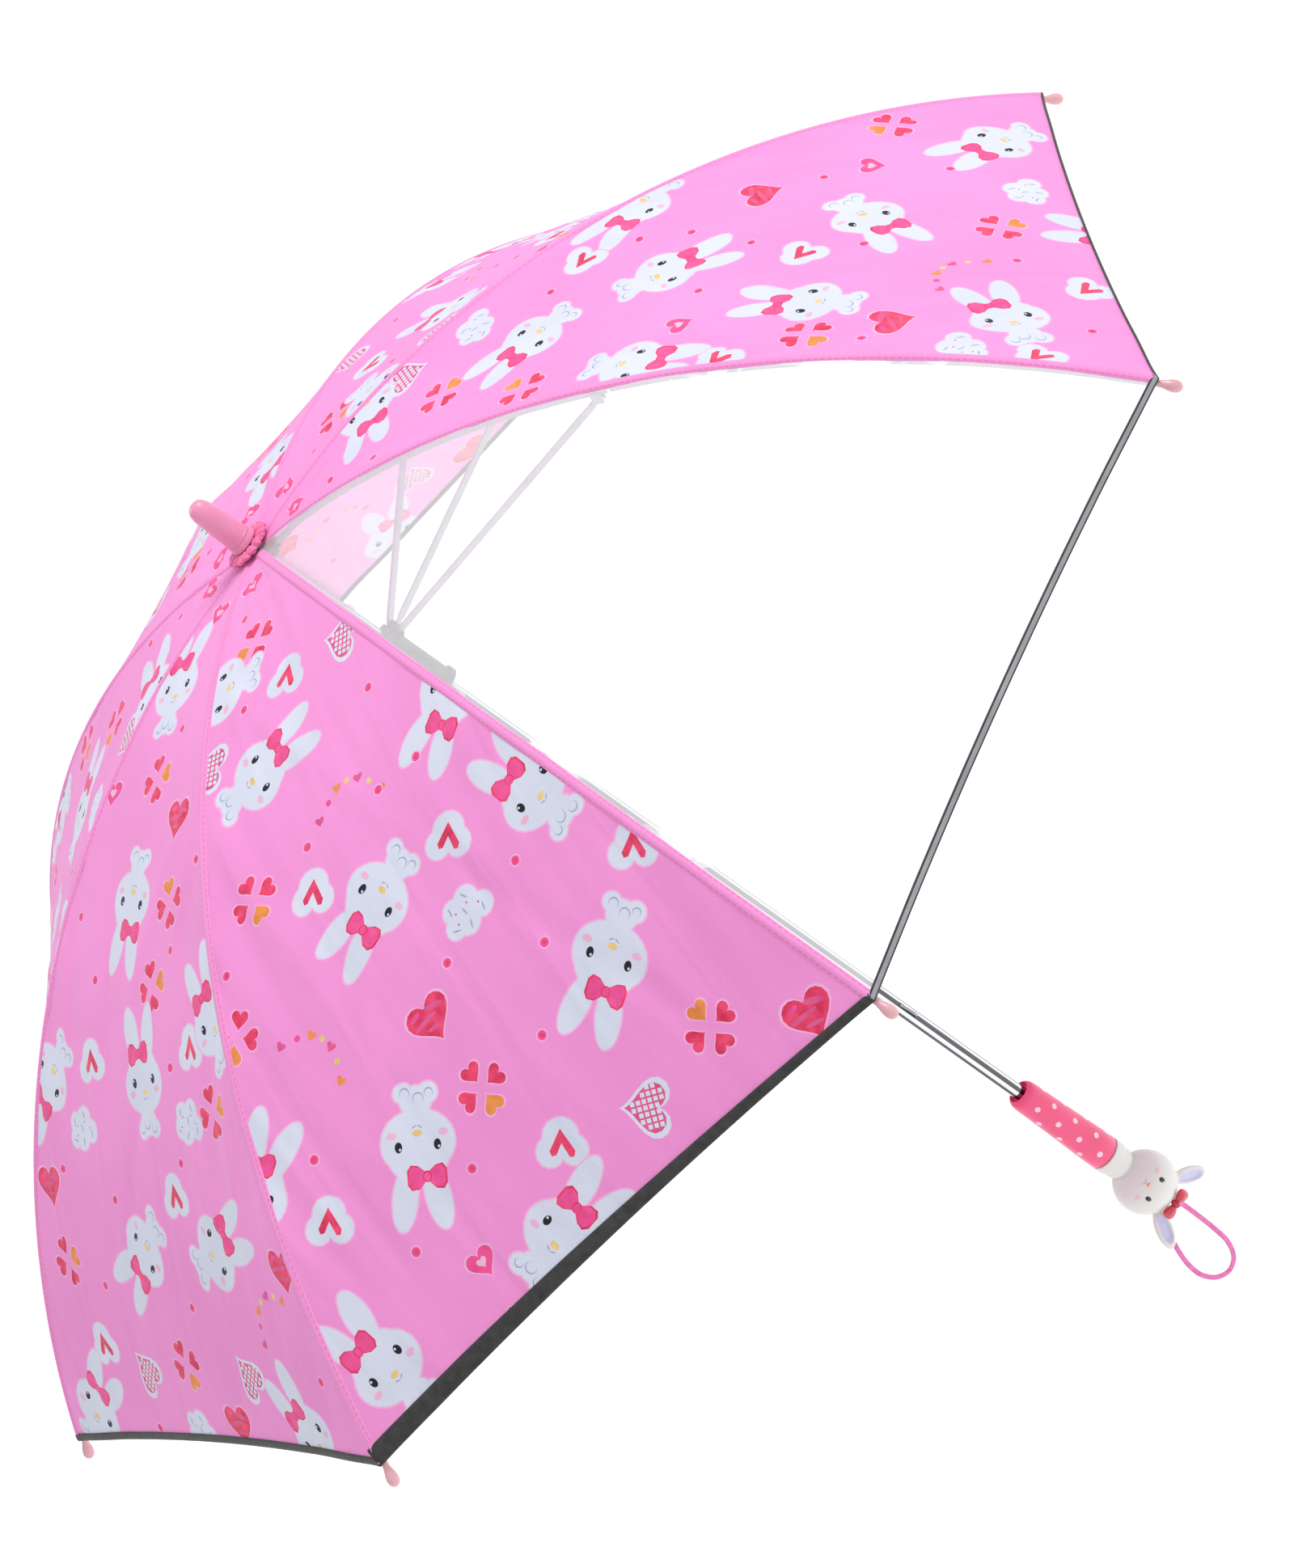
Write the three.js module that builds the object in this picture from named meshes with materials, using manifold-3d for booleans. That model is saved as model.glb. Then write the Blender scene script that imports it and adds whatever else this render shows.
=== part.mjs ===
// Children's stick umbrella, standing open.
//
// Millimetres. +Z runs up the shaft, from the hand grip to the ferrule.
// The origin is the centre of the hand grip, on the shaft's axis.
// Rib 1 stands at azimuth -22.5 degrees and each next rib 45 degrees
// further clockwise, seen from above. Panel n spans ribs n and n + 1.

import * as THREE from "three";
import { mergeVertices } from "three/addons/utils/BufferGeometryUtils.js";
import Module from "manifold-3d";

const wasm = await Module();
wasm.setup();

// ---------------------------------------------------------------- dimensions

// Canopy
const RIB_COUNT = 8;
const RIB_ARC = 480; // fabric length along one rib, from the axis to the hem
const CROWN_Z = 554; // where the fabric meets the axis
const TILT_CROWN = -6.06; // degrees below horizontal, at the axis
const TILT_HEM = 52.74; // degrees below horizontal, at the hem
const TILT_POWER = 0.875;
const FABRIC = 0.8;
const FABRIC_HOLE_R = 5.4;
const HEM_SAG = 4.5; // how far the hem curves in, half way between two ribs
const SEAM_GAP = 0.25; // from a panel's edge to the plane of its rib
const CLEAR_PANEL = 2;

// Ribs and stretchers: folded steel channel
const RIB_DROP = 3.2; // rib centre-line below the fabric's outer face
const CHANNEL_WALL = 0.5;
const RIB_W = 3.2;
const RIB_H = 2.8;
const OUTER_RIB_W = 2.8;
const OUTER_RIB_H = 2.4;
const STRETCHER_W = 2.8;
const STRETCHER_H = 2.4;
const RIB_SPLIT = 0.47; // share of the arc where the outer rib starts
const SPLIT_GAP = 1.4;
const BRACKET_AT = 0.455; // share of the arc where the stretcher is pinned
const BRACKET_DROP = 4.6; // stretcher pin below the rib's centre-line
const RIB_END = 0.994;

// Wire rings that the ribs and stretchers hang on
const RING_R = 9;
const WIRE_R = 0.6;
const EYE_HOLE_R = 1.0;
const EYE_R = 1.6;
const SLOT_W = 3.0;
const SLOT_FLOOR_R = 6.8;
const NOTCHED_R = 11.5;
const GROOVE_R = 8.0;
const GROOVE_H = 2.2;
const CROWN_PIVOT_DROP = 4.8;

// Shaft, runner and catches
const SHAFT_R = 4.0;
const SHAFT_BORE_R = 3.3;
const SLIDE_R = 4.4; // bore of what goes over the shaft
const SHAFT_BOTTOM = -30.3;
const SHAFT_TOP = CROWN_Z + 12.4;
const SLEEVE_R = 7.8;
const SLEEVE_DROP = 38;
const KEYWAY_W = 2.2;
const KEYWAY_R = 6.3;
const CATCH_W = 1.4;
const CATCH_OUT = 6.0;
const CATCH_H = 11;
const CATCH_SLOT_W = 2.0;
const BOTTOM_CATCH_Z = 112;

// Handle
const GRIP_HALF = 32.5;
const COLLAR_TOP = -GRIP_HALF - 0.4;
const COLLAR_BOTTOM = -46.4;
const HEAD_R = 18;
const HEAD_Z = -64.6;
const NECK_R = 7;
const EAR_HALF = 12;
const BOW_DOWN = 52; // degrees below the head's middle, on the face side
const BOW_LEAN = 25; // degrees that its broad side looks down
const FACE_AZIMUTH = -112.5;
const CORD_R = 1.2;
const CORD_STEPS = 40;

// ----------------------------------------------------------------- materials

function material(color, roughness, metalness) {
  return new THREE.MeshStandardMaterial({ color, roughness, metalness });
}

const steel = () => material(0xb9bcc0, 0.32, 1);
const chrome = () => material(0xd4d6d8, 0.16, 1);
const pinkFabric = () => material(0xf08fd0, 0.78, 0);
const clearFilm = () => {
  const film = material(0xf2f5f7, 0.12, 0);
  film.transparent = true;
  film.opacity = 0.25;
  return film;
};
const palePink = () => material(0xf6b3cd, 0.32, 0);
const hotPink = () => material(0xf4548a, 0.35, 0);
const rosettePink = () => material(0xe8549a, 0.8, 0);
const whitePlastic = () => material(0xf4f3f1, 0.3, 0);
const blackPlastic = () => material(0x25262a, 0.45, 0);
const redPlastic = () => material(0xd8232f, 0.35, 0);

// -------------------------------------------------------------- solid helpers

function solid(geometry) {
  const bare = geometry.clone();
  for (const name of Object.keys(bare.attributes)) {
    if (name !== "position") bare.deleteAttribute(name);
  }
  const merged = mergeVertices(bare, 1e-4);
  return new wasm.Manifold(
    new wasm.Mesh({
      numProp: 3,
      vertProperties: new Float32Array(merged.attributes.position.array),
      triVerts: new Uint32Array(merged.index.array),
    }),
  );
}

function geometryOf(body) {
  const mesh = body.getMesh();
  const geometry = new THREE.BufferGeometry();
  const positions = new Float32Array(mesh.vertProperties);
  geometry.setAttribute("position", new THREE.BufferAttribute(positions, 3));
  geometry.setIndex(new THREE.BufferAttribute(new Uint32Array(mesh.triVerts), 1));
  return geometry;
}

function box(x0, x1, y0, y1, z0, z1) {
  const geometry = new THREE.BoxGeometry(x1 - x0, y1 - y0, z1 - z0);
  return geometry.translate((x0 + x1) / 2, (y0 + y1) / 2, (z0 + z1) / 2);
}

// A round pin along Y, centred on (x, z).
function pin(radius, length, x, z, sides = 12) {
  return new THREE.CylinderGeometry(radius, radius, length, sides).translate(x, 0, z);
}

// A lathe whose profile is a list of [radius, z].
function turned(profile, sides = 24) {
  const points = profile.map(([r, z]) => new THREE.Vector2(r, z));
  const geometry = new THREE.LatheGeometry(points, sides);
  return geometry.rotateX(Math.PI / 2);
}

// The same, for a profile that never meets the axis and closes on itself.
function turnedRing(profile, sides = 24) {
  return turned([...profile, profile[0]], sides);
}

function outward(body) {
  return body.volume() < 0 ? flipped(body) : body;
}

function flipped(body) {
  const mesh = body.getMesh();
  const turnedOver = new Uint32Array(mesh.triVerts);
  for (let i = 0; i < turnedOver.length; i += 3) {
    const keep = turnedOver[i + 1];
    turnedOver[i + 1] = turnedOver[i + 2];
    turnedOver[i + 2] = keep;
  }
  return new wasm.Manifold(
    new wasm.Mesh({
      numProp: 3,
      vertProperties: new Float32Array(mesh.vertProperties),
      triVerts: turnedOver,
    }),
  );
}

// A channel open downwards, swept along points in the XZ plane that run outwards.
function channel(points, width, height, steps) {
  const w = width / 2;
  const h = height / 2;
  const t = CHANNEL_WALL;
  const section = new THREE.Shape([
    new THREE.Vector2(-w, -h),
    new THREE.Vector2(w, -h),
    new THREE.Vector2(w, h),
    new THREE.Vector2(w - t, h),
    new THREE.Vector2(w - t, -h + t),
    new THREE.Vector2(-w + t, -h + t),
    new THREE.Vector2(-w + t, h),
    new THREE.Vector2(-w, h),
  ]);
  const path = steps === 1
    ? new THREE.LineCurve3(points[0], points[points.length - 1])
    : new THREE.CatmullRomCurve3(points);
  return new THREE.ExtrudeGeometry(section, { steps, bevelEnabled: false, extrudePath: path });
}

// A flat eye at the origin with its shank along +X, laid flat in the XZ plane.
function eyeBlade(thickness, holeR, reach) {
  const shank = solid(box(0, reach, -thickness / 2, thickness / 2, -1.1, 1.1));
  const eye = solid(pin(EYE_R, thickness, 0, 0, 12));
  const hole = solid(pin(holeR, thickness + 2, 0, 0, 12));
  return geometryOf(shank.add(eye).subtract(hole));
}

// Turns a geometry about +Y so that +X points `below` radians under the horizontal.
function tilted(geometry, below, x, z) {
  return geometry.rotateY(below).translate(x, 0, z);
}

// ------------------------------------------------------------- canopy profile

const PROFILE_STEPS = 480;
const degrees = THREE.MathUtils.degToRad;

function tiltAt(s) {
  return degrees(TILT_CROWN + (TILT_HEM - TILT_CROWN) * s ** TILT_POWER);
}

const profileTable = [[0, 0]];
for (let i = 0; i < PROFILE_STEPS; i += 1) {
  const tilt = tiltAt((i + 0.5) / PROFILE_STEPS);
  const step = RIB_ARC / PROFILE_STEPS;
  const [r, z] = profileTable[i];
  profileTable.push([r + step * Math.cos(tilt), z - step * Math.sin(tilt)]);
}

// A point at share s of the arc, `drop` under the fabric's outer face.
function profile(s, drop) {
  const at = THREE.MathUtils.clamp(s, 0, 1) * PROFILE_STEPS;
  const i = Math.min(Math.floor(at), PROFILE_STEPS - 1);
  const f = at - i;
  const [r0, z0] = profileTable[i];
  const [r1, z1] = profileTable[i + 1];
  const tilt = tiltAt(s);
  return {
    r: r0 + (r1 - r0) * f - drop * Math.sin(tilt),
    z: CROWN_Z + z0 + (z1 - z0) * f - drop * Math.cos(tilt),
    tilt,
  };
}

// ------------------------------------------------------- pivots of the linkage

const crownPivot = { r: RING_R, z: CROWN_Z - CROWN_PIVOT_DROP };
const bracketPivot = profile(BRACKET_AT, RIB_DROP + BRACKET_DROP);
// The stretcher is as long as crown pivot to bracket pivot, so the runner pivot
// lies as far below the bracket as the crown pivot lies above it.
const runnerPivot = { r: RING_R, z: 2 * bracketPivot.z - crownPivot.z };

// ------------------------------------------------------------ rib and stretcher

function innerRibGeometry() {
  const points = [];
  const first = profile(0.06, RIB_DROP);
  const slope = Math.atan2(crownPivot.z - first.z, first.r - crownPivot.r);
  const start = 5.5;
  points.push(new THREE.Vector3(
    crownPivot.r + start * Math.cos(slope),
    0,
    crownPivot.z - start * Math.sin(slope),
  ));
  const last = RIB_SPLIT - SPLIT_GAP / 2 / RIB_ARC;
  const count = 8;
  for (let i = 0; i <= count; i += 1) {
    const p = profile(0.06 + ((last - 0.06) * i) / count, RIB_DROP);
    points.push(new THREE.Vector3(p.r, 0, p.z));
  }
  const bar = solid(channel(points, RIB_W, RIB_H, 10));
  const blade = eyeBlade(2.4, EYE_HOLE_R, start + 3);
  const crownEnd = solid(tilted(blade, slope, crownPivot.r, crownPivot.z));

  const along = profile(BRACKET_AT, RIB_DROP).tilt;
  const ear = (side) => {
    const near = 1.3 * side;
    const far = 2.0 * side;
    const plate = box(-2.75, 2.75, Math.min(near, far), Math.max(near, far), -1.8, BRACKET_DROP);
    return solid(tilted(plate, along, bracketPivot.r, bracketPivot.z));
  };
  const rivet = solid(pin(0.7, 3.9, bracketPivot.r, bracketPivot.z, 10));
  return geometryOf(bar.add(crownEnd).add(ear(1)).add(ear(-1)).add(rivet));
}

function outerRibGeometry() {
  const points = [];
  const from = RIB_SPLIT + SPLIT_GAP / 2 / RIB_ARC;
  const count = 9;
  for (let i = 0; i <= count; i += 1) {
    const p = profile(from + ((RIB_END - from) * i) / count, RIB_DROP);
    points.push(new THREE.Vector3(p.r, 0, p.z));
  }
  return geometryOf(solid(channel(points, OUTER_RIB_W, OUTER_RIB_H, 10)));
}

function ribTipGeometry() {
  const end = profile(RIB_END, RIB_DROP);
  const gap = 0.3;
  const ball = [
    [0, gap],
    [1.7, gap],
    [1.7, 4.6],
    [2.3, 6.4],
    [3.0, 8.4],
    [3.2, 10.4],
    [2.8, 12.4],
    [1.8, 13.8],
    [0, 14.5],
  ];
  // The ball's length runs along +Z, then turns to +X and down to the rib's slope.
  const body = turned(ball, 12).rotateY(Math.PI / 2);
  return geometryOf(outward(solid(tilted(body, end.tilt, end.r, end.z))));
}

function stretcherGeometry() {
  const dr = bracketPivot.r - runnerPivot.r;
  const dz = bracketPivot.z - runnerPivot.z;
  const length = Math.hypot(dr, dz);
  const rise = Math.atan2(dz, dr);
  const line = [new THREE.Vector3(5.5, 0, 0), new THREE.Vector3(length - 5, 0, 0)];
  const bar = solid(channel(line, STRETCHER_W, STRETCHER_H, 1));
  const runnerEnd = solid(eyeBlade(2.2, EYE_HOLE_R, 8.5));
  const ribEnd = solid(eyeBlade(2.0, 1.05, 8).rotateY(Math.PI).translate(length, 0, 0));
  const whole = geometryOf(bar.add(runnerEnd).add(ribEnd));
  return tilted(whole, -rise, runnerPivot.r, runnerPivot.z);
}

// --------------------------------------------------------------- notched wheels

function slotted(body, z0, z1) {
  let cut = body;
  for (let i = 0; i < RIB_COUNT; i += 1) {
    const slot = box(SLOT_FLOOR_R, NOTCHED_R + 2, -SLOT_W / 2, SLOT_W / 2, z0, z1);
    cut = cut.subtract(solid(slot.rotateZ(ribAzimuth(i + 1))));
  }
  return cut;
}

function ribAzimuth(n) {
  return degrees(-22.5 - (360 / RIB_COUNT) * (n - 1));
}

function wireRing(z) {
  return geometryOf(outward(solid(new THREE.TorusGeometry(RING_R, WIRE_R, 6, 32)))).translate(0, 0, z);
}

function crownHubGeometry() {
  const g = GROOVE_H / 2;
  const profileOfHub = [
    [SLIDE_R, -2.8],
    [NOTCHED_R, -2.8],
    [NOTCHED_R, -g],
    [GROOVE_R, -g],
    [GROOVE_R, g],
    [NOTCHED_R, g],
    [NOTCHED_R, 2.5],
    [SLIDE_R, 2.5],
  ];
  const body = outward(solid(turnedRing(profileOfHub)));
  return geometryOf(slotted(body, -4, 4)).translate(0, 0, crownPivot.z);
}

function runnerGeometry() {
  const g = GROOVE_H / 2;
  const profileOfRunner = [
    [SLIDE_R, -SLEEVE_DROP],
    [9.2, -SLEEVE_DROP],
    [9.2, -SLEEVE_DROP + 3],
    [SLEEVE_R, -SLEEVE_DROP + 4.2],
    [SLEEVE_R, -5.5],
    [NOTCHED_R, -2.8],
    [NOTCHED_R, -g],
    [GROOVE_R, -g],
    [GROOVE_R, g],
    [NOTCHED_R, g],
    [NOTCHED_R, 2.8],
    [SLIDE_R, 2.8],
  ];
  const body = outward(solid(turnedRing(profileOfRunner)));
  const keyway = solid(box(-KEYWAY_W / 2, KEYWAY_W / 2, -KEYWAY_R, -3, -SLEEVE_DROP - 1, 4));
  return geometryOf(slotted(body, -3.6, 4).subtract(keyway)).translate(0, 0, runnerPivot.z);
}

// ------------------------------------------------------------- shaft and catches

// A catch is a plate in the YZ plane, on the -Y side of the shaft. `flat` is the z of
// the face that holds the runner, and `away` is +1 when its ramp rises above that face.
function catchGeometry(flat, away) {
  const outline = new THREE.Shape([
    new THREE.Vector2(0.3, 0),
    new THREE.Vector2(CATCH_OUT, 0),
    new THREE.Vector2(CATCH_OUT, 1.6),
    new THREE.Vector2(SHAFT_R - 0.1, CATCH_H),
    new THREE.Vector2(0.3, CATCH_H),
  ]);
  const plate = new THREE.ExtrudeGeometry(outline, { depth: CATCH_W, bevelEnabled: false });
  // The outline's X becomes -Y and its Y becomes Z.
  plate.translate(0, 0, -CATCH_W / 2).rotateX(Math.PI / 2).rotateZ(-Math.PI / 2);
  if (away < 0) plate.rotateY(Math.PI);
  return geometryOf(outward(solid(plate.translate(0, 0, flat))));
}

const TOP_CATCH_Z = runnerPivot.z - SLEEVE_DROP - 0.5;

function shaftGeometry() {
  const tube = outward(solid(turnedRing([
    [SHAFT_BORE_R, SHAFT_BOTTOM],
    [SHAFT_R, SHAFT_BOTTOM],
    [SHAFT_R, SHAFT_TOP],
    [SHAFT_BORE_R, SHAFT_TOP],
  ], 24)));
  const half = CATCH_SLOT_W / 2;
  const topSlot = solid(box(-half, half, -5, -2, TOP_CATCH_Z - CATCH_H - 0.5, TOP_CATCH_Z + 0.5));
  const low = BOTTOM_CATCH_Z;
  const bottomSlot = solid(box(-half, half, -5, -2, low - 0.5, low + CATCH_H + 0.5));
  return geometryOf(tube.subtract(topSlot).subtract(bottomSlot));
}

// ----------------------------------------------------------------------- canopy

// A closed shell over a grid. at(u, v, under) gives the outer point, or the inner one.
function shell(at, columns, rows) {
  const positions = [];
  for (const under of [false, true]) {
    for (let j = 0; j <= rows; j += 1) {
      for (let i = 0; i <= columns; i += 1) {
        positions.push(...at(i / columns, j / rows, under));
      }
    }
  }
  const layer = (columns + 1) * (rows + 1);
  const top = (i, j) => j * (columns + 1) + i;
  const low = (i, j) => layer + top(i, j);
  const index = [];
  const quad = (a, b, c, d) => index.push(a, b, c, a, c, d);
  for (let j = 0; j < rows; j += 1) {
    for (let i = 0; i < columns; i += 1) {
      quad(top(i, j), top(i, j + 1), top(i + 1, j + 1), top(i + 1, j));
      quad(low(i, j), low(i + 1, j), low(i + 1, j + 1), low(i, j + 1));
    }
  }
  for (let j = 0; j < rows; j += 1) {
    quad(top(0, j), low(0, j), low(0, j + 1), top(0, j + 1));
    quad(top(columns, j), top(columns, j + 1), low(columns, j + 1), low(columns, j));
  }
  for (let i = 0; i < columns; i += 1) {
    quad(top(i, 0), top(i + 1, 0), low(i + 1, 0), low(i, 0));
    quad(top(i, rows), low(i, rows), low(i + 1, rows), top(i + 1, rows));
  }
  const geometry = new THREE.BufferGeometry();
  geometry.setAttribute("position", new THREE.Float32BufferAttribute(positions, 3));
  geometry.setIndex(index);
  return geometryOf(outward(solid(geometry)));
}

// One gore, with its middle along +X: straight across between its two ribs.
function panelGeometry() {
  const halfAngle = Math.PI / RIB_COUNT;
  const from = FABRIC_HOLE_R / RIB_ARC;
  return shell((u, v, under) => {
    const across = 2 * u - 1;
    const to = 1 - (HEM_SAG / RIB_ARC) * (1 - across * across);
    const p = profile(from + (to - from) * v, under ? FABRIC : 0);
    return [p.r * Math.cos(halfAngle), across * (p.r * Math.sin(halfAngle) - SEAM_GAP), p.z];
  }, 4, 12);
}

// ------------------------------------------------------------- crown and handle

function rosetteGeometry() {
  return turnedRing([
    [SLIDE_R, 2.0],
    [12.6, 2.0],
    [13.8, 3.0],
    [12.6, 4.3],
    [8.6, 5.5],
    [SLIDE_R, 5.5],
  ]).translate(0, 0, CROWN_Z);
}

function ferruleGeometry() {
  return turned([
    [0, 12.8],
    [SLIDE_R, 12.8],
    [SLIDE_R, 5.9],
    [7.8, 5.9],
    [7.8, 7.6],
    [7.1, 9.4],
    [6.6, 22],
    [6.4, 33],
    [5.7, 36.2],
    [3.9, 38.1],
    [0, 38.6],
  ]).translate(0, 0, CROWN_Z);
}

function gripGeometry() {
  return turned([
    [0, -GRIP_HALF],
    [9.5, -GRIP_HALF],
    [10, -GRIP_HALF + 0.8],
    [9.6, -12],
    [9.0, 12],
    [8.75, 26],
    [8.5, 29.5],
    [7.6, 31.8],
    [6.6, GRIP_HALF],
    [6.2, GRIP_HALF],
    [6.2, GRIP_HALF - 3],
    [SLIDE_R, GRIP_HALF - 3],
    [SLIDE_R, SHAFT_BOTTOM - 0.4],
    [0, SHAFT_BOTTOM - 0.4],
  ]);
}

function collarGeometry() {
  return turned([
    [0, COLLAR_BOTTOM],
    [8.2, COLLAR_BOTTOM],
    [8.2, -45],
    [9.3, -44.2],
    [9.3, -39.2],
    [10.1, -38.6],
    [10.1, COLLAR_TOP - 0.5],
    [9.8, COLLAR_TOP],
    [0, COLLAR_TOP],
  ]);
}

// The head is built facing +X, chin up, then turned to face FACE_AZIMUTH.
function headGeometry() {
  const points = [[0, -46.8], [NECK_R, -46.8]];
  const neckAngle = Math.asin(NECK_R / HEAD_R);
  const count = 10;
  for (let i = 0; i < count; i += 1) {
    const a = neckAngle + ((Math.PI - neckAngle) * i) / count;
    points.push([HEAD_R * Math.sin(a), HEAD_Z + HEAD_R * Math.cos(a)]);
  }
  points.push([0, HEAD_Z - HEAD_R]);
  return geometryOf(outward(solid(turned(points))));
}

function clearOfHead() {
  return outward(solid(new THREE.SphereGeometry(HEAD_R + 0.3, 24, 14).translate(0, 0, HEAD_Z)));
}

// An ear stands out of the head, splayed sideways from its crown and tipped towards the
// face, and leans back by `lean` from its own root.
function earGeometry(side, splay, forward, lean) {
  const ear = new THREE.SphereGeometry(1, 12, 9).scale(3.2, 5.2, EAR_HALF);
  ear.translate(0, 0, 1.5 - EAR_HALF).rotateY(degrees(lean)).translate(0, 0, 0.5 - HEAD_R);
  ear.rotateY(degrees(-forward)).rotateX(side * degrees(splay)).translate(0, 0, HEAD_Z);
  return geometryOf(outward(solid(ear)).subtract(clearOfHead()));
}

function bowGeometry() {
  const wings = [1, -1].map((side) => {
    const cone = new THREE.ConeGeometry(5.4, 9.6, 10).scale(1, 1, 0.45);
    cone.rotateX(side > 0 ? Math.PI : 0).rotateY(Math.PI / 2);
    return outward(solid(cone.translate(0, side * 4.6, 0)));
  });
  const knot = outward(solid(new THREE.SphereGeometry(2.9, 10, 6)));
  const bow = geometryOf(wings[0].add(wings[1]).add(knot));
  const down = degrees(BOW_DOWN);
  const out = HEAD_R + 2.4;
  bow.rotateY(degrees(BOW_LEAN)).translate(out * Math.cos(down), 0, HEAD_Z - out * Math.sin(down));
  return geometryOf(solid(bow).subtract(clearOfHead()));
}

// The wrist cord leaves the head between the ears, hangs in a loop and comes back.
const CORD_ROUTE = [
  [0.5, 1.7, -83.4],
  [0.5, 2.0, -93],
  [0.5, 1.8, -105],
  [0.8, 1.2, -117.4],
  [1, -0.5, -129.6],
  [1.2, -5.5, -138.3],
  [1.2, -12.5, -141],
  [1, -19.3, -137.6],
  [0.5, -23.5, -129],
  [-0.5, -23.3, -119.2],
  [-2, -20.2, -109],
  [-4.5, -15.3, -99.5],
  [-5.5, -9, -91.5],
  [-4.2, -4.5, -86.9],
  [-1, -1.7, -83.4],
];

function wristLoopGeometry() {
  const circle = new THREE.Shape();
  for (let i = 0; i < 8; i += 1) {
    const a = (i * Math.PI) / 4;
    const x = CORD_R * Math.cos(a);
    const y = CORD_R * Math.sin(a);
    if (i === 0) circle.moveTo(x, y);
    else circle.lineTo(x, y);
  }
  const path = new THREE.CatmullRomCurve3(CORD_ROUTE.map((p) => new THREE.Vector3(...p)));
  const options = { steps: CORD_STEPS, bevelEnabled: false, extrudePath: path };
  return geometryOf(outward(solid(new THREE.ExtrudeGeometry(circle, options))));
}

// --------------------------------------------------------------------- assembly

const umbrella = new THREE.Group();

function add(name, geometry, look, azimuth = 0) {
  const mesh = new THREE.Mesh(geometry, look);
  mesh.name = name;
  mesh.rotation.z = azimuth;
  umbrella.add(mesh);
}

add("shaft", shaftGeometry(), chrome());
add("crown_hub", crownHubGeometry(), blackPlastic());
add("crown_ring", wireRing(crownPivot.z), steel());
add("rosette", rosetteGeometry(), rosettePink());
add("ferrule_cap", ferruleGeometry(), palePink());
add("runner", runnerGeometry(), blackPlastic());
add("runner_ring", wireRing(runnerPivot.z), steel());
add("top_catch", catchGeometry(TOP_CATCH_Z, -1), steel());
add("bottom_catch", catchGeometry(BOTTOM_CATCH_Z, 1), steel());

const innerRib = innerRibGeometry();
const outerRib = outerRibGeometry();
const ribTip = ribTipGeometry();
const stretcher = stretcherGeometry();
const panel = panelGeometry();
for (let n = 1; n <= RIB_COUNT; n += 1) {
  const azimuth = ribAzimuth(n);
  add(`rib_inner_${n}`, innerRib.clone(), steel(), azimuth);
  add(`rib_outer_${n}`, outerRib.clone(), steel(), azimuth);
  add(`rib_tip_${n}`, ribTip.clone(), palePink(), azimuth);
  add(`stretcher_${n}`, stretcher.clone(), steel(), azimuth);
  const look = n === CLEAR_PANEL ? clearFilm() : pinkFabric();
  add(`panel_${n}`, panel.clone(), look, azimuth - Math.PI / RIB_COUNT);
}

const faceTurn = degrees(FACE_AZIMUTH);
add("grip", gripGeometry(), hotPink());
add("collar", collarGeometry(), whitePlastic());
add("head", headGeometry(), whitePlastic(), faceTurn);
add("ear_left", earGeometry(1, 38, 0, 15), whitePlastic(), faceTurn);
add("ear_right", earGeometry(-1, 33, 15, 0), whitePlastic(), faceTurn);
add("bow", bowGeometry(), redPlastic(), faceTurn);
add("wrist_loop", wristLoopGeometry(), palePink(), faceTurn);

export default umbrella;
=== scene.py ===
"""Children's umbrella: the looks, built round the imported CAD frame.

Lengths in the design tables are millimetres in the row frame: +Z up the shaft, origin
at the middle of the hand grip. MM turns them into metres.
"""

from math import asin, copysign, cos, pi, radians, sin, sqrt, tan

import bmesh
import bpy
import numpy as np
from mathutils import Matrix, Vector
from mathutils.geometry import delaunay_2d_cdt


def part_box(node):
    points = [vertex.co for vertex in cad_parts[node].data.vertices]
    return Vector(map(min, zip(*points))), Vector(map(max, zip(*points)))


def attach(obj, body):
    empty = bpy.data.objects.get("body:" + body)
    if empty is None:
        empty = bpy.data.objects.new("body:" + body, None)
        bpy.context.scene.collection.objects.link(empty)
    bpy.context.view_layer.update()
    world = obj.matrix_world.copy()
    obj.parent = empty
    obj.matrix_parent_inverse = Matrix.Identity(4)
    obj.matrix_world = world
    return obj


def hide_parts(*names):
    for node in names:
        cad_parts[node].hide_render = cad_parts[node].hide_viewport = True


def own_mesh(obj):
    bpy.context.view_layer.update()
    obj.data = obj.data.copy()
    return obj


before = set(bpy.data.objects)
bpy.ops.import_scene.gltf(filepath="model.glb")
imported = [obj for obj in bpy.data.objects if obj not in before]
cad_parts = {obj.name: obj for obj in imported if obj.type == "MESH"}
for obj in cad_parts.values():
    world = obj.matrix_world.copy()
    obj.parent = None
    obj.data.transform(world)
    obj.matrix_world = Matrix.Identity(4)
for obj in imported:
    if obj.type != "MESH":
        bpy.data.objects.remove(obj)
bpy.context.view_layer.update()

MM = 0.001
RIBS = 8
HALF = pi / RIBS
ARC = 480.0  # fabric length down a seam, from the axis to the hem
TILT_CROWN, TILT_HEM, TILT_POWER = -6.06, 52.74, 0.875  # degrees below horizontal
STEPS = 480  # one for each mm of ARC
SHAFT_OVER_CROWN = 12.4
CROWN_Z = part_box("shaft")[1][2] / MM - SHAFT_OVER_CROWN
SPLIT = 0.47 * ARC
CLEAR = 2
HOLE = 5.4
HEM_SAG = 4.5
FACE = radians(-112.5)
HEAD_R = 18.0
HEAD_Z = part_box("head")[0][2] / MM + HEAD_R
GRIP_FOOT, GRIP_TOP = -32.5, 32.3
SHAFT_FOOT = -30.3
FLOOR_Z = -0.62  # metres


# ------------------------------------------------------------------ camera, stage

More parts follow.
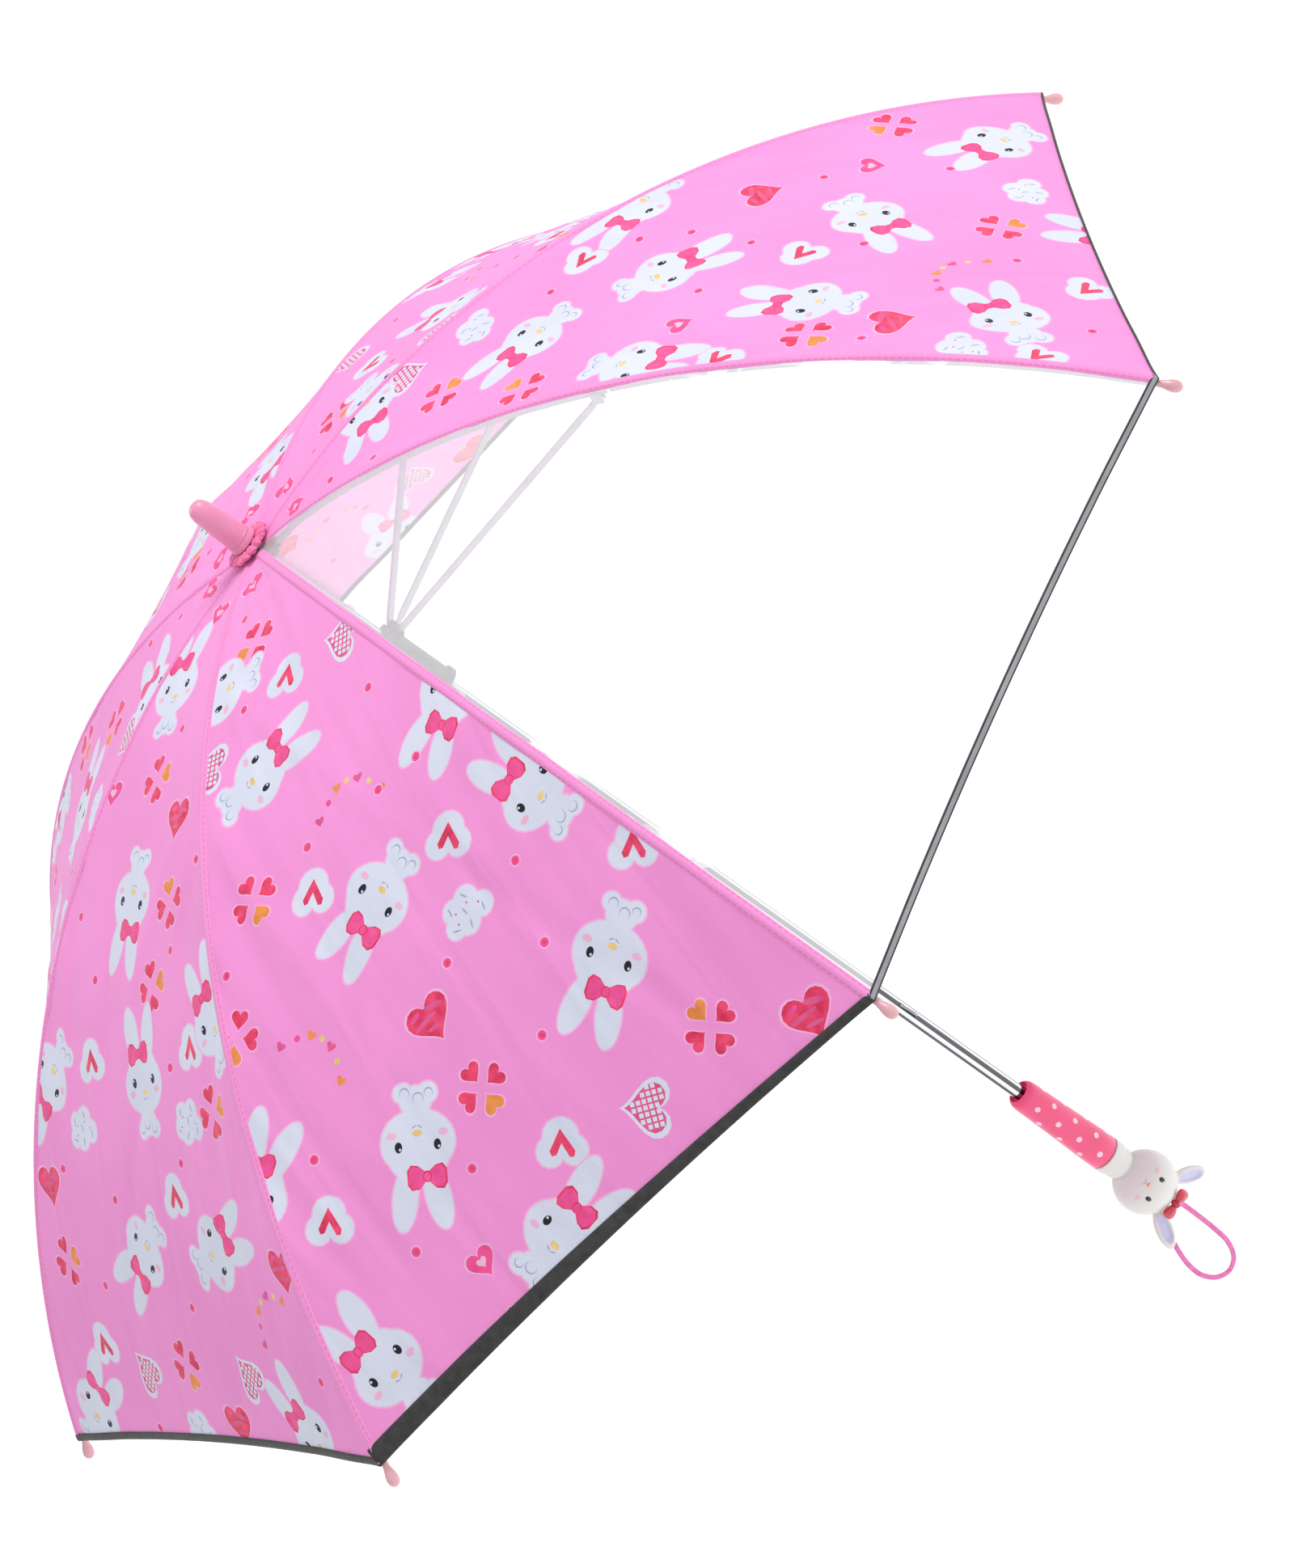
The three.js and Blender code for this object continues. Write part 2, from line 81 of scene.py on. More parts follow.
def make_camera():
    data = bpy.data.cameras.new("camera")
    data.sensor_fit = "VERTICAL"
    data.sensor_height = 36.0
    data.lens = 98.84
    data.clip_end = 50.0
    cam = bpy.data.objects.new("camera", data)
    bpy.context.collection.objects.link(cam)
    right = Vector((0.41107, -0.52810, -0.74305))
    up = Vector((0.84164, -0.09328, 0.53191))
    back = right.cross(up).normalized()
    up = back.cross(right).normalized()
    turn = Matrix((right.normalized(), up, back)).transposed().to_4x4()
    cam.matrix_world = Matrix.Translation((-0.74652, -1.84677, 1.19817)) @ turn
    bpy.context.scene.camera = cam


make_camera()


# ---------------------------------------------------------------------- materials

def nodes_of(name):
    m = bpy.data.materials.new(name)
    m.use_nodes = True
    t = m.node_tree
    return m, t, t.nodes["Principled BSDF"]


def srgb(c):
    lin = lambda v: v / 12.92 if v <= 0.04045 else ((v + 0.055) / 1.055) ** 2.4
    return (lin(c[0]), lin(c[1]), lin(c[2]), 1.0)


def fill_in(node, **values):
    """Sets a node's inputs by name, with _ for a space."""
    for key, value in values.items():
        node.inputs[key.replace("_", " ")].default_value = value
    return node


def wire(t, source, output, node, socket):
    t.links.new(source.outputs[output], node.inputs[socket])


def add(t, kind, **values):
    return fill_in(t.nodes.new("ShaderNode" + kind), **values)


def bumped(t, source, strength, distance):
    b = add(t, "Bump", Strength=strength, Distance=distance)
    t.links.new(source, b.inputs["Height"])
    return b


def two_tone(t, low, high, at):
    """A colour ramp from low to high between two positions."""
    ramp = add(t, "ValToRGB")
    for element, position, colour in zip(ramp.color_ramp.elements, at, (low, high)):
        element.position = position
        element.color = srgb(colour)
    return ramp


def mottle(t, shader, colour, spread, scale):
    """A soft change of tone over the surface, round one colour."""
    tex = add(t, "TexCoord")
    noise = add(t, "TexNoise", Scale=scale, Detail=4.0)
    low = [max(0.0, c - spread) for c in colour]
    high = [min(1.0, c + spread * 0.6) for c in colour]
    ramp = two_tone(t, low, high, (0.3, 0.7))
    wire(t, tex, "Object", noise, "Vector")
    wire(t, noise, "Fac", ramp, "Fac")
    wire(t, ramp, "Color", shader, "Base Color")
    return tex, noise


def cloth(name, colour, spread=0.02, scale=26.0, sheen=0.15, rough=0.72, stitches=False,
          creased=False):
    """Plain-woven fabric: fine crossing threads, a soft sheen and a little cloudiness.
    creased adds the long soft folds that run from the crown to the hem."""
    m, t, p = nodes_of(name)
    tex, _ = mottle(t, p, colour, spread, scale)
    fill_in(p, Roughness=rough, Sheen_Weight=sheen, Sheen_Roughness=0.4,
            Specular_IOR_Level=0.35)
    weave = add(t, "Math")
    weave.operation = "MAXIMUM"
    for k, direction in enumerate(("X", "Y")):
        w = add(t, "TexWave", Scale=0.55, Distortion=0.6, Detail=1.0)
        w.bands_direction = direction
        wire(t, tex, "UV", w, "Vector")
        t.links.new(w.outputs["Fac"], weave.inputs[k])
    height = stitch_rows(t, tex, p, weave) if stitches else weave
    bump = bumped(t, height.outputs[0], 0.25, 0.0003)
    if creased:
        t.links.new(long_folds(t, tex).outputs["Normal"], bump.inputs["Normal"])
    wire(t, bump, "Normal", p, "Normal")
    return m


def long_folds(t, tex):
    stretch = add(t, "Mapping", Scale=(0.045, 0.006, 1.0))
    folds = add(t, "TexNoise", Scale=1.0, Detail=1.6, Distortion=0.5)
    wire(t, tex, "UV", stretch, "Vector")
    wire(t, stretch, "Vector", folds, "Vector")
    return bumped(t, folds.outputs["Fac"], 0.5, 0.007)


def stitch_rows(t, tex, shader, weave):
    """Short thread dashes in two rows, 1.7 mm either side of the middle of a seam."""
    sep = t.nodes.new("ShaderNodeSeparateXYZ")
    t.links.new(tex.outputs["UV"], sep.inputs[0])

    def op(kind, a, b=None):
        n = t.nodes.new("ShaderNodeMath")
        n.operation = kind
        for i, v in enumerate((a, b)):
            if v is None:
                continue
            if isinstance(v, (int, float)):
                n.inputs[i].default_value = v
            else:
                t.links.new(v, n.inputs[i])
        return n.outputs[0]

    side = op("ABSOLUTE", op("SUBTRACT", op("ABSOLUTE", sep.outputs["X"]), 1.7))
    row = op("LESS_THAN", side, 0.35)
    dash = op("LESS_THAN", op("FRACT", op("DIVIDE", sep.outputs["Y"], 3.2)), 0.68)
    thread = op("MULTIPLY", row, dash)
    mix = t.nodes.new("ShaderNodeMix")
    mix.data_type = "RGBA"
    base = shader.inputs["Base Color"].links[0].from_socket
    t.links.new(thread, mix.inputs["Factor"])
    t.links.new(base, mix.inputs["A"])
    mix.inputs["B"].default_value = srgb((0.93, 0.52, 0.76))
    wire(t, mix, "Result", shader, "Base Color")
    total = t.nodes.new("ShaderNodeMath")
    total.operation = "ADD"
    t.links.new(weave.outputs[0], total.inputs[0])
    t.links.new(thread, total.inputs[1])
    return total


def plastic(name, colour, rough=0.3, coat=0.3, spread=0.012):
    """Moulded plastic with a faint orange-peel and a clear skin."""
    m, t, p = nodes_of(name)
    tex, _ = mottle(t, p, colour, spread, 60.0)
    fill_in(p, Roughness=rough, Coat_Weight=coat, Coat_Roughness=0.12)
    fine = add(t, "TexNoise", Scale=900.0)
    wire(t, tex, "Object", fine, "Vector")
    peel = bumped(t, fine.outputs["Fac"], 0.04, 0.0004)
    wire(t, peel, "Normal", p, "Normal")
    return m


def satin(name, colour):
    """Smooth shiny ribbon with a fine uneven surface and a strong sheen."""
    m, t, p = nodes_of(name)
    _, noise = mottle(t, p, colour, 0.07, 420.0)
    fill_in(p, Roughness=0.42, Sheen_Weight=0.5)
    crimp = bumped(t, noise.outputs["Fac"], 0.5, 0.0006)
    wire(t, crimp, "Normal", p, "Normal")
    return m


def metal(name, colour, rough, streak=0.12, painted_reflection_streaks=False):
    """Drawn steel: fine lengthwise streaks in the roughness and a little in the colour.
    Its painted reflection flag paints dark streaks along Z into the colour, standing for the
    surroundings mirrored in bright plating."""
    m, t, p = nodes_of(name)
    tex, _ = mottle(t, p, colour, 0.03, 40.0)
    # painted reflection: dark streaks in the base colour stand for surroundings mirrored in the
    # plating
    if painted_reflection_streaks:
        flat = add(t, "Mapping", Scale=(330.0, 330.0, 0.0))
        bands = add(t, "TexNoise", Scale=1.0, Detail=1.0)
        ramp = two_tone(t, [c * 0.42 for c in colour], colour, (0.43, 0.52))
        wire(t, tex, "Object", flat, "Vector")
        wire(t, flat, "Vector", bands, "Vector")
        wire(t, bands, "Fac", ramp, "Fac")
        wire(t, ramp, "Color", p, "Base Color")
    fill_in(p, Metallic=1.0)
    stretch = add(t, "Mapping", Scale=(900.0, 900.0, 14.0))
    fine = add(t, "TexNoise", Scale=1.0)
    level = add(t, "MapRange", To_Min=max(0.03, rough - streak / 2),
                To_Max=rough + streak / 2)
    wire(t, tex, "Object", stretch, "Vector")
    wire(t, stretch, "Vector", fine, "Vector")
    wire(t, fine, "Fac", level, "Value")
    wire(t, level, "Result", p, "Roughness")
    return m


def film(name):
    """See-through soft vinyl with a white haze."""
    m, t, p = nodes_of(name)
    mottle(t, p, (0.97, 0.975, 0.985), 0.01, 30.0)
    fill_in(p, Roughness=0.08, Coat_Weight=0.6, Coat_Roughness=0.05, Alpha=0.55)
    wavy = add(t, "TexNoise", Scale=9.0)
    waves = bumped(t, wavy.outputs["Fac"], 0.35, 0.004)
    wire(t, waves, "Normal", p, "Normal")
    return m


PINK = (0.975, 0.60, 0.865)
PRINTS = {  # key: name, colour, spread, cloudiness
    "ground": ("fabric_pink", PINK, 0.02, 14.0),
    "halo": ("print_edge", (0.975, 0.72, 0.89), 0.015),
    "white": ("print_white", (0.865, 0.885, 0.955), 0.02),
    "lilac": ("print_lilac", (0.68, 0.69, 0.81), 0.02),
    "hot": ("print_hot_pink", (0.97, 0.33, 0.61), 0.05, 160.0),
    "red": ("print_red", (0.94, 0.25, 0.43), 0.10, 170.0),
    "rose": ("print_rose", (0.90, 0.36, 0.58), 0.05, 160.0),
    "orange": ("print_orange", (0.95, 0.58, 0.30), 0.06, 150.0),
    "yellow": ("print_yellow", (0.94, 0.82, 0.55), 0.05, 150.0),
    "black": ("print_black", (0.10, 0.09, 0.13), 0.02),
    "blush": ("print_blush", (0.95, 0.74, 0.86), 0.03),
}
M = {key: cloth(*facts, creased=True) for key, facts in PRINTS.items()}
M.update({
    "seam": cloth("seam_pink", (0.97, 0.60, 0.85), 0.015, stitches=True),
    "tape": cloth("hem_tape", (0.235, 0.24, 0.235), 0.04, 220.0, sheen=0.3, rough=0.8),
    "vinyl_tape": plastic("vinyl_hem", (0.60, 0.61, 0.63), 0.28, 0.5, 0.05),
    "film": film("clear_film"),
    "rosette": satin("rosette_satin", (0.97, 0.42, 0.66)),
    "pale": plastic("pale_pink_plastic", (0.955, 0.60, 0.75), 0.33, 0.35, 0.03),
    "ball": plastic("ball_pink_plastic", (0.90, 0.68, 0.71), 0.33, 0.35, 0.03),
    "grip": plastic("hot_pink_plastic", (0.965, 0.33, 0.52), 0.36, 0.3, 0.02),
    "dots": plastic("white_dots", (0.97, 0.84, 0.90), 0.4, 0.2),
    "shell": plastic("white_plastic", (0.90, 0.905, 0.885), 0.36, 0.2),
    "ear": plastic("ear_lilac", (0.83, 0.84, 0.95), 0.45, 0.1),
    "dark": plastic("black_plastic", (0.13, 0.13, 0.145), 0.42, 0.1),
    "eye": plastic("eye_black", (0.05, 0.05, 0.06), 0.12, 0.8),
    "nose": plastic("nose_pink", (0.95, 0.66, 0.56), 0.3, 0.4),
    "cheek": plastic("cheek_pink", (0.95, 0.80, 0.82), 0.5, 0.0),
    "bow": plastic("bow_red", (0.80, 0.12, 0.24), 0.22, 0.6, 0.05),
    "cord": cloth("cord_pink", (0.94, 0.52, 0.76), 0.06, 400.0, sheen=0.5),
    "steel": metal("rib_steel", (0.70, 0.71, 0.73), 0.30),
    # the shaft's plating gets painted reflection streaks in its colour
    "chrome": metal("shaft_chrome", (0.90, 0.905, 0.92), 0.16, 0.06, painted_reflection_streaks=True),
})


# ------------------------------------------------------------------ piece helpers

def piece(name, verts, faces, mats, body, face_mats=None, normals=None, uvs=None,
          smooth=True):
    """A mesh object in metres that rides on a body. mats are keys of M."""
    mesh = bpy.data.meshes.new(name)
    mesh.from_pydata([tuple(v) for v in verts], [], [tuple(f) for f in faces])
    for key in mats:
        mesh.materials.append(M[key])
    if face_mats is not None:
        mesh.polygons.foreach_set("material_index", np.asarray(face_mats, np.int32))
    if uvs is not None:
        layer = mesh.uv_layers.new(name="UVMap")
        loops = np.empty(len(mesh.loops), np.int32)
        mesh.loops.foreach_get("vertex_index", loops)
        layer.data.foreach_set("uv", np.asarray(uvs, float)[loops].ravel())
    mesh.polygons.foreach_set("use_smooth", np.full(len(mesh.polygons), smooth))
    mesh.validate()
    mesh.update()
    if normals is not None:
        mesh.normals_split_custom_set_from_vertices([tuple(n) for n in normals])
    obj = bpy.data.objects.new(name, mesh)
    bpy.context.collection.objects.link(obj)
    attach(obj, body)
    return obj


def grid_faces(rows, columns, wrap=False):
    """Quads over rows x columns points; wrap joins the last column to the first."""
    faces = []
    last = columns if wrap else columns - 1
    for j in range(rows - 1):
        for i in range(last):
            k = (i + 1) % columns
            a, b = j * columns + i, j * columns + k
            faces.append((a, b, b + columns, a + columns))
    return faces


def spun(name, profile, mat, body, sides=96, z0=0.0, bevel=None):
    """A turned piece. profile is (radius, z) in mm, its corners rounded by bevel."""
    pts = rounded(profile, bevel) if bevel else profile
    turns = [2 * pi * i / sides for i in range(sides)]
    verts = [(r * MM * cos(a), r * MM * sin(a), (z + z0) * MM)
             for r, z in pts for a in turns]
    obj = piece(name, verts, grid_faces(len(pts), sides, wrap=True), [mat], body)
    tidy_normals(obj)
    return obj


def rounded(profile, radius, steps=4):
    """The profile with each inner corner replaced by a small arc of chords."""
    out = [profile[0]]
    for a, b, c in zip(profile, profile[1:], profile[2:]):
        va, vc = Vector(a) - Vector(b), Vector(c) - Vector(b)
        d = min(radius, va.length * 0.45, vc.length * 0.45)
        p0 = Vector(b) + va.normalized() * d
        p1 = Vector(b) + vc.normalized() * d
        for i in range(steps + 1):
            f = i / steps
            q = p0.lerp(Vector(b), f).lerp(Vector(b).lerp(p1, f), f)
            out.append((q.x, q.y))
    out.append(profile[-1])
    return out


def tidy_normals(obj):
    bm = bmesh.new()
    bm.from_mesh(obj.data)
    bmesh.ops.remove_doubles(bm, verts=bm.verts, dist=1e-7)
    bmesh.ops.recalc_face_normals(bm, faces=bm.faces)
    bm.to_mesh(obj.data)
    bm.free()
    obj.data.update()


def spin_z(points, angle):
    c, s = cos(angle), sin(angle)
    p = np.asarray(points, float)
    return np.stack([p[..., 0] * c - p[..., 1] * s, p[..., 0] * s + p[..., 1] * c,
                     p[..., 2]], -1)


# --------------------------------------------------------------------- wrist cord

CORD_ROUTE = [
    (0.5, 1.7, -83.4), (0.5, 2.0, -93), (0.5, 1.8, -105), (0.8, 1.2, -117.4),
    (1, -0.5, -129.6), (1.2, -5.5, -138.3), (1.2, -12.5, -141), (1, -19.3, -137.6),
    (0.5, -23.5, -129), (-0.5, -23.3, -119.2), (-2, -20.2, -109), (-4.5, -15.3, -99.5),
    (-5.5, -9, -91.5), (-4.2, -4.5, -86.9), (-1, -1.7, -83.4),
]


def through(points, per_span):
    """A centripetal Catmull-Rom curve through the points."""
    p = [np.array(q, float) for q in points]
    p = [2 * p[0] - p[1], *p, 2 * p[-1] - p[-2]]
    out = []
    for a, b, c, d in zip(p, p[1:], p[2:], p[3:]):
        gaps = [max(np.linalg.norm(n - m), 1e-6) ** 0.5 for m, n in ((a, b), (b, c), (c, d))]
        t = np.cumsum([0.0] + gaps)
        for u in t[1] + (t[2] - t[1]) * np.arange(per_span) / per_span:
            def mix(m, n, i, j):
                return ((t[j] - u) * m + (u - t[i]) * n) / (t[j] - t[i])

            a1, a2, a3 = mix(a, b, 0, 1), mix(b, c, 1, 2), mix(c, d, 2, 3)
            out.append(mix(mix(a1, a2, 0, 2), mix(a2, a3, 1, 3), 1, 2))
    out.append(p[-2])
    return np.array(out)


def make_cord():
    """A flat woven loop, 3 mm wide, laid with its broad side towards the face's side."""
    line = spin_z(through(CORD_ROUTE, 10), FACE)
    length = np.linalg.norm(np.diff(line, axis=0), axis=1).sum()
    toward = spin_z(np.array([[1.0, 0.0, 0.0]]), FACE)[0]
    tangent = np.gradient(line, axis=0)
    tangent /= np.linalg.norm(tangent, axis=1)[:, None]
    wide = np.cross(tangent, toward)
    wide /= np.linalg.norm(wide, axis=1)[:, None]
    thin = np.cross(wide, tangent)
    sides = 12
    verts, uvs = [], []
    for k, q in enumerate(line):
        for i in range(sides):
            a = 2 * pi * i / sides
            x = 1.5 * copysign(abs(cos(a)) ** 0.6, cos(a))
            y = 0.65 * copysign(abs(sin(a)) ** 0.7, sin(a))
            verts.append((q + wide[k] * x + thin[k] * y) * MM)
            uvs.append((x * 1.2, k * length / len(line)))
    faces = grid_faces(len(line), sides, wrap=True)
    count = len(line) * sides
    faces += [tuple(reversed(range(sides))), tuple(range(count - sides, count))]
    cord = piece("wrist_cord", verts, faces, ["cord"], "frame", uvs=uvs)
    tidy_normals(cord)
    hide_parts("wrist_loop")


make_cord()


# ----------------------------------------------------------------- canopy surface

_step = (np.arange(STEPS) + 0.5) / STEPS
_tilt = np.radians(TILT_CROWN + (TILT_HEM - TILT_CROWN) * _step ** TILT_POWER)
_R = np.concatenate([[0], np.cumsum(np.cos(_tilt))])
_Z = CROWN_Z - np.concatenate([[0], np.cumsum(np.sin(_tilt))])


def tilt_at(v):
    s = np.clip(np.asarray(v, float) / ARC, 0, 1.02)
    return np.radians(TILT_CROWN + (TILT_HEM - TILT_CROWN) * s ** TILT_POWER)


def profile(v):
    v = np.asarray(v, float)
    over = np.maximum(v - ARC, 0)
    t = tilt_at(v)
    r = np.interp(v, np.arange(STEPS + 1), _R) + over * np.cos(t)
    z = np.interp(v, np.arange(STEPS + 1), _Z) - over * np.sin(t)
    return r, z, t


def half_width(v):
    return profile(v)[0] * sin(HALF)


def hem(u):
    """Arc length at the hem, u mm to one side of the panel's middle."""
    return ARC - HEM_SAG * (1 - (np.asarray(u, float) / half_width(ARC)) ** 2)


def relief(n, u, v):
    """How far the cloth stands off the straight-across shape, in mm."""
    w = np.maximum(half_width(v), 1.0)
    a = np.clip(np.abs(u) / w, 0, 1)
    sag = -2.4 * (1 - a ** 2) * np.clip(v / 200, 0, 1)
    phase = n * 1.7
    near_rib = np.clip((a - 0.4) / 0.5, 0, 1) * np.clip((1 - a) / 0.06, 0, 1)
    along = np.clip((v - 60) / 150, 0, 1) * np.clip((470 - v) / 60, 0, 1)
    ripple = 0.55 * np.sin(np.abs(u) / 4.6 + v / 61 + phase) * near_rib * along
    to_hem = np.clip((v - 340) / 120, 0, 1)
    pull = 0.7 * np.sin(v / 10.0 + np.abs(u) / 13.0 + phase) * to_hem
    pull = pull * np.clip((a - 0.55) / 0.4, 0, 1) * np.clip((1 - a) / 0.08, 0, 1)
    inner = np.clip((1 - a) / 0.1, 0, 1)
    crease = 0.0
    for k in range(4):
        lean = 0.5 * sin(phase * 2 + 2.1 * k)
        offset = 46 * sin(phase + 1.9 * k)
        top = 90 + 60 * k
        slant = (u - (v - 300) * lean - offset) / 6.0
        reach = np.clip((v - top) / 50, 0, 1) * np.clip((top + 210 - v) / 70, 0, 1)
        crease = crease + (-1) ** k * 0.8 * np.exp(-slant ** 2) * reach * inner
    crown = 0.35 * np.sin(np.abs(u) / np.maximum(v, 20) * 38 + phase)
    crown *= np.clip((120 - v) / 70, 0, 1)
    crown *= np.clip((1 - a) / 0.15, 0, 1) * np.clip(v / 30, 0, 1)
    return sag + ripple + pull + crease + crown


def on_panel(n, u, v, lift=0.0):
    """The point in metres of panel n at (u, v) mm, u positive towards rib n + 1 and v
    along the arc from the crown."""
    u, v = np.asarray(u, float), np.asarray(v, float)
    r, z, t = profile(v)
    h = relief(n, u, v) + lift - 0.25
    local = np.stack([r * cos(HALF) + h * np.sin(t), -u + 0 * v, z + h * np.cos(t)], -1)
    return spin_z(local, centre_of(n)) * MM


def centre_of(n):
    return radians(-45.0 * n)


def rib_angle(n):
    return radians(-22.5 - 45.0 * (n - 1))


def surface_normals(n, u, v):
    e = 1.5
    du = on_panel(n, u + e, v) - on_panel(n, u - e, v)
    dv = on_panel(n, u, v + e) - on_panel(n, u, v - e)
    nrm = np.cross(dv, du)
    nrm /= np.linalg.norm(nrm, axis=1)[:, None]
    return nrm * np.where(nrm[:, 2:3] < 0, -1.0, 1.0)


# ------------------------------------------------------------------- print motifs

def ring(cx, cy, rx, ry=None, turn=0.0, count=14):
    ry = rx if ry is None else ry
    a = np.linspace(0, 2 * pi, count, endpoint=False)
    x, y = rx * np.cos(a), ry * np.sin(a)
    c, s = cos(turn), sin(turn)
    return np.stack([cx + x * c - y * s, cy + x * s + y * c], -1)


def heart(cx, cy, size, turn=0.0, count=34):
    """A heart as wide as size, its point towards -y."""
    a = np.linspace(0, 2 * pi, count, endpoint=False)
    x = 16 * np.sin(a) ** 3
    y = 13 * np.cos(a) - 5 * np.cos(2 * a) - 2 * np.cos(3 * a) - np.cos(4 * a)
    x, y = x * size / 32, (y + 2) * size / 32
    c, s = cos(turn), sin(turn)
    return np.stack([cx + x * c - y * s, cy + x * s + y * c], -1)


def inside(points, polygon):
    """Even-odd test of many points against one polygon."""
    low, high = polygon.min(0), polygon.max(0)
    hit = np.zeros(len(points), bool)
    near = np.flatnonzero(((points >= low) & (points <= high)).all(1))
    if not len(near):
        return hit
    x, y = points[near, 0], points[near, 1]
    odd = np.zeros(len(near), bool)
    q = polygon[-1]
    for p in polygon:
        if p[1] != q[1]:
            crosses = (p[1] > y) != (q[1] > y)
            at = (q[0] - p[0]) * (y - p[1]) / (q[1] - p[1]) + p[0]
            odd ^= crosses & (x < at)
        q = p
    hit[near] = odd
    return hit


def bunny():
    """A plain rabbit: round cheeks, two broad ears, fluff under the chin, a bow on top."""
    body = [(-8.4, 24.0, 6.4, 15.0, 0.20), (8.4, 24.0, 6.4, 15.0, -0.20),
            (0, -19.5, 8.2, 7.0, 0), (-6.5, -23.5, 5.0, 4.6, 0), (6.5, -23.0, 5.2, 4.8, 0),
            (0, -1.0, 19.2, 15.0, 0), (0, 4.0, 15.8, 13.0, 0)]
    layers = [("halo", ring(x, y, rx + 0.9, ry + 0.9, t, 26)) for x, y, rx, ry, t in body]
    layers += [("white", ring(x, y, rx, ry, t, 26)) for x, y, rx, ry, t in body]
    for x, y, r in ((-5.6, -23.4, 2.7), (1.4, -20.6, 3.0), (7.0, -23.0, 2.4)):
        layers += [("lilac", ring(x, y, r)), ("white", ring(x, y + 0.45, r - 0.35))]
    for s in (-1, 1):
        layers.append(("black", ring(s * 10.0, 0.6, 1.9, 2.5, 0, 14)))
        layers.append(("white", ring(s * 10.0 + 0.7, 1.6, 0.65, 0.7, 0, 6)))
        layers.append(("blush", ring(s * 13.2, -4.8, 2.6, 1.7, 0, 10)))
        layers.append(("lilac", ring(s * 1.5, -8.1, 1.5, 0.4, s * 0.5, 8)))
    layers.append(("yellow", ring(0, -5.2, 2.6, 1.6, 0, 12)))
    for s in (-1, 1):
        wing = np.array([(0, 1.5), (4.5, 5.6), (8.2, 6.0), (10.2, 3.4), (10.2, -3.0),
                         (8.2, -5.6), (4.5, -5.0), (0, -1.5)]) * (s, 1)
        layers.append(("red", wing + (3.6, 14.6)))
        layers.append(("hot", wing * (0.9, 0.84) + (3.6, 14.6)))
        layers += [("rose", ring(3.6 + s * x, 14.6 + y, 0.7, count=6))
                   for x, y in ((4.2, 0.2), (7.0, 2.6), (7.0, -2.6))]
    layers.append(("red", ring(3.6, 14.6, 2.4, 2.7, 0, 12)))
    layers.append(("hot", ring(3.6, 14.6, 1.8, 2.1, 0, 10)))
    return layers


def flower():
    layers = []
    for k in range(4):
        a = pi / 4 + k * pi / 2
        colour = "orange" if k == 3 else "red"
        middle = (-8.2 * sin(a), 8.2 * cos(a))
        layers.append(("halo", heart(*middle, 12.4, a, 26)))
        layers.append((colour, heart(*middle, 10.6, a, 26)))
    return layers


def badge():
    tick = np.array([(0, -6.4), (6.4, 4.0), (5.6, 6.6), (3.4, 6.6), (0, 0.2), (-3.0, 5.2),
                     (-5.2, 5.6), (-6.2, 3.2)])
    layers = []
    for colour, grow in (("halo", 0.8), ("white", 0.0)):
        layers += [(colour, ring(s * 5.9, 3.6, 6.9 + grow)) for s in (-1, 1)]
        layers.append((colour, ring(0, -3.2, 8.9 + grow, 8.2 + grow)))
    return layers + [("red", tick)]


def watercolour_heart():
    return [("halo", heart(0, 0, 26.5, 0, 28)), ("red", heart(0, 0, 24, 0, 28)),
            ("rose", ring(-4.5, 5.0, 5.4, 1.5, 0.3)), ("rose", ring(3.0, 1.4, 7.2, 1.2, -0.1)),
            ("rose", ring(0, -3.6, 4.8, 1.0, 0.1)), ("hot", ring(6.0, 6.4, 3.0, 1.3, -0.3))]


def hatched_heart():
    edge = heart(0, 0, 22.5, 0, 24)
    layers = [("white", heart(0, 0, 27.5, 0, 26)), ("rose", edge)]
    for i in range(-5, 6):
        for j in range(-5, 6):
            x, y = i * 2.9 * 0.97 + j * 0.7, j * 2.9 * 0.97 - i * 0.7
            if inside(np.array([[x, y]]), edge * 0.94)[0]:
                layers.append(("white", ring(x, y, 1.45, 1.45, pi / 4 - 0.24, 4)))
    return layers


def cloud():
    puffs = [(-8, -3, 6), (-2.5, 4.5, 6.6), (6, 4, 5.8), (9, -3, 5.4), (2, -4.5, 6.6)]
    layers = [("halo", ring(x, y, r + 0.8)) for x, y, r in puffs]
    layers += [("white", ring(x, y, r)) for x, y, r in puffs]
    layers += [("lilac", ring(x, y, 2.4, 0.5, 0.4 + x, 8)) for x, y in
               ((-8, -4.4), (-2.5, 6.6), (7.5, 5.0), (9.5, -4.2), (1.5, -6.6), (1.0, 0.4))]
    layers += [("rose", ring(x, y, 0.6, count=6)) for x, y in
               ((-7, -1), (-2, 3), (5.5, 2.4), (7, -2.4))]
    return layers


def small_heart():
    return [("halo", heart(0, 0, 17)), ("hot", heart(0, 0, 15)), ("blush", heart(0, 0.4, 5.5))]


def garland():
    """A row of little hearts and beads on a shallow arc."""
    layers = []
    colours = ["orange", "yellow", "rose", "yellow", "orange", "hot", "rose"]
    for k, colour in enumerate(colours):
        x = (k - 3) * 6.4
        y = -0.035 * x * x
        shape = heart(x, y, 5.6, 0, 12) if k % 2 == 0 else ring(x, y, 1.7, count=8)
        layers.append((colour, shape))
    return layers


def dot():
    return [("halo", ring(0, 0, 3.0)), ("hot", ring(0, 0, 2.3)), ("red", ring(0, 0, 1.2, count=8))]


MOTIFS = {"bunny": bunny(), "flower": flower(), "badge": badge(), "heart": watercolour_heart(),
          "hatched": hatched_heart(), "cloud": cloud(), "small": small_heart(),
          "garland": garland(), "dot": dot()}

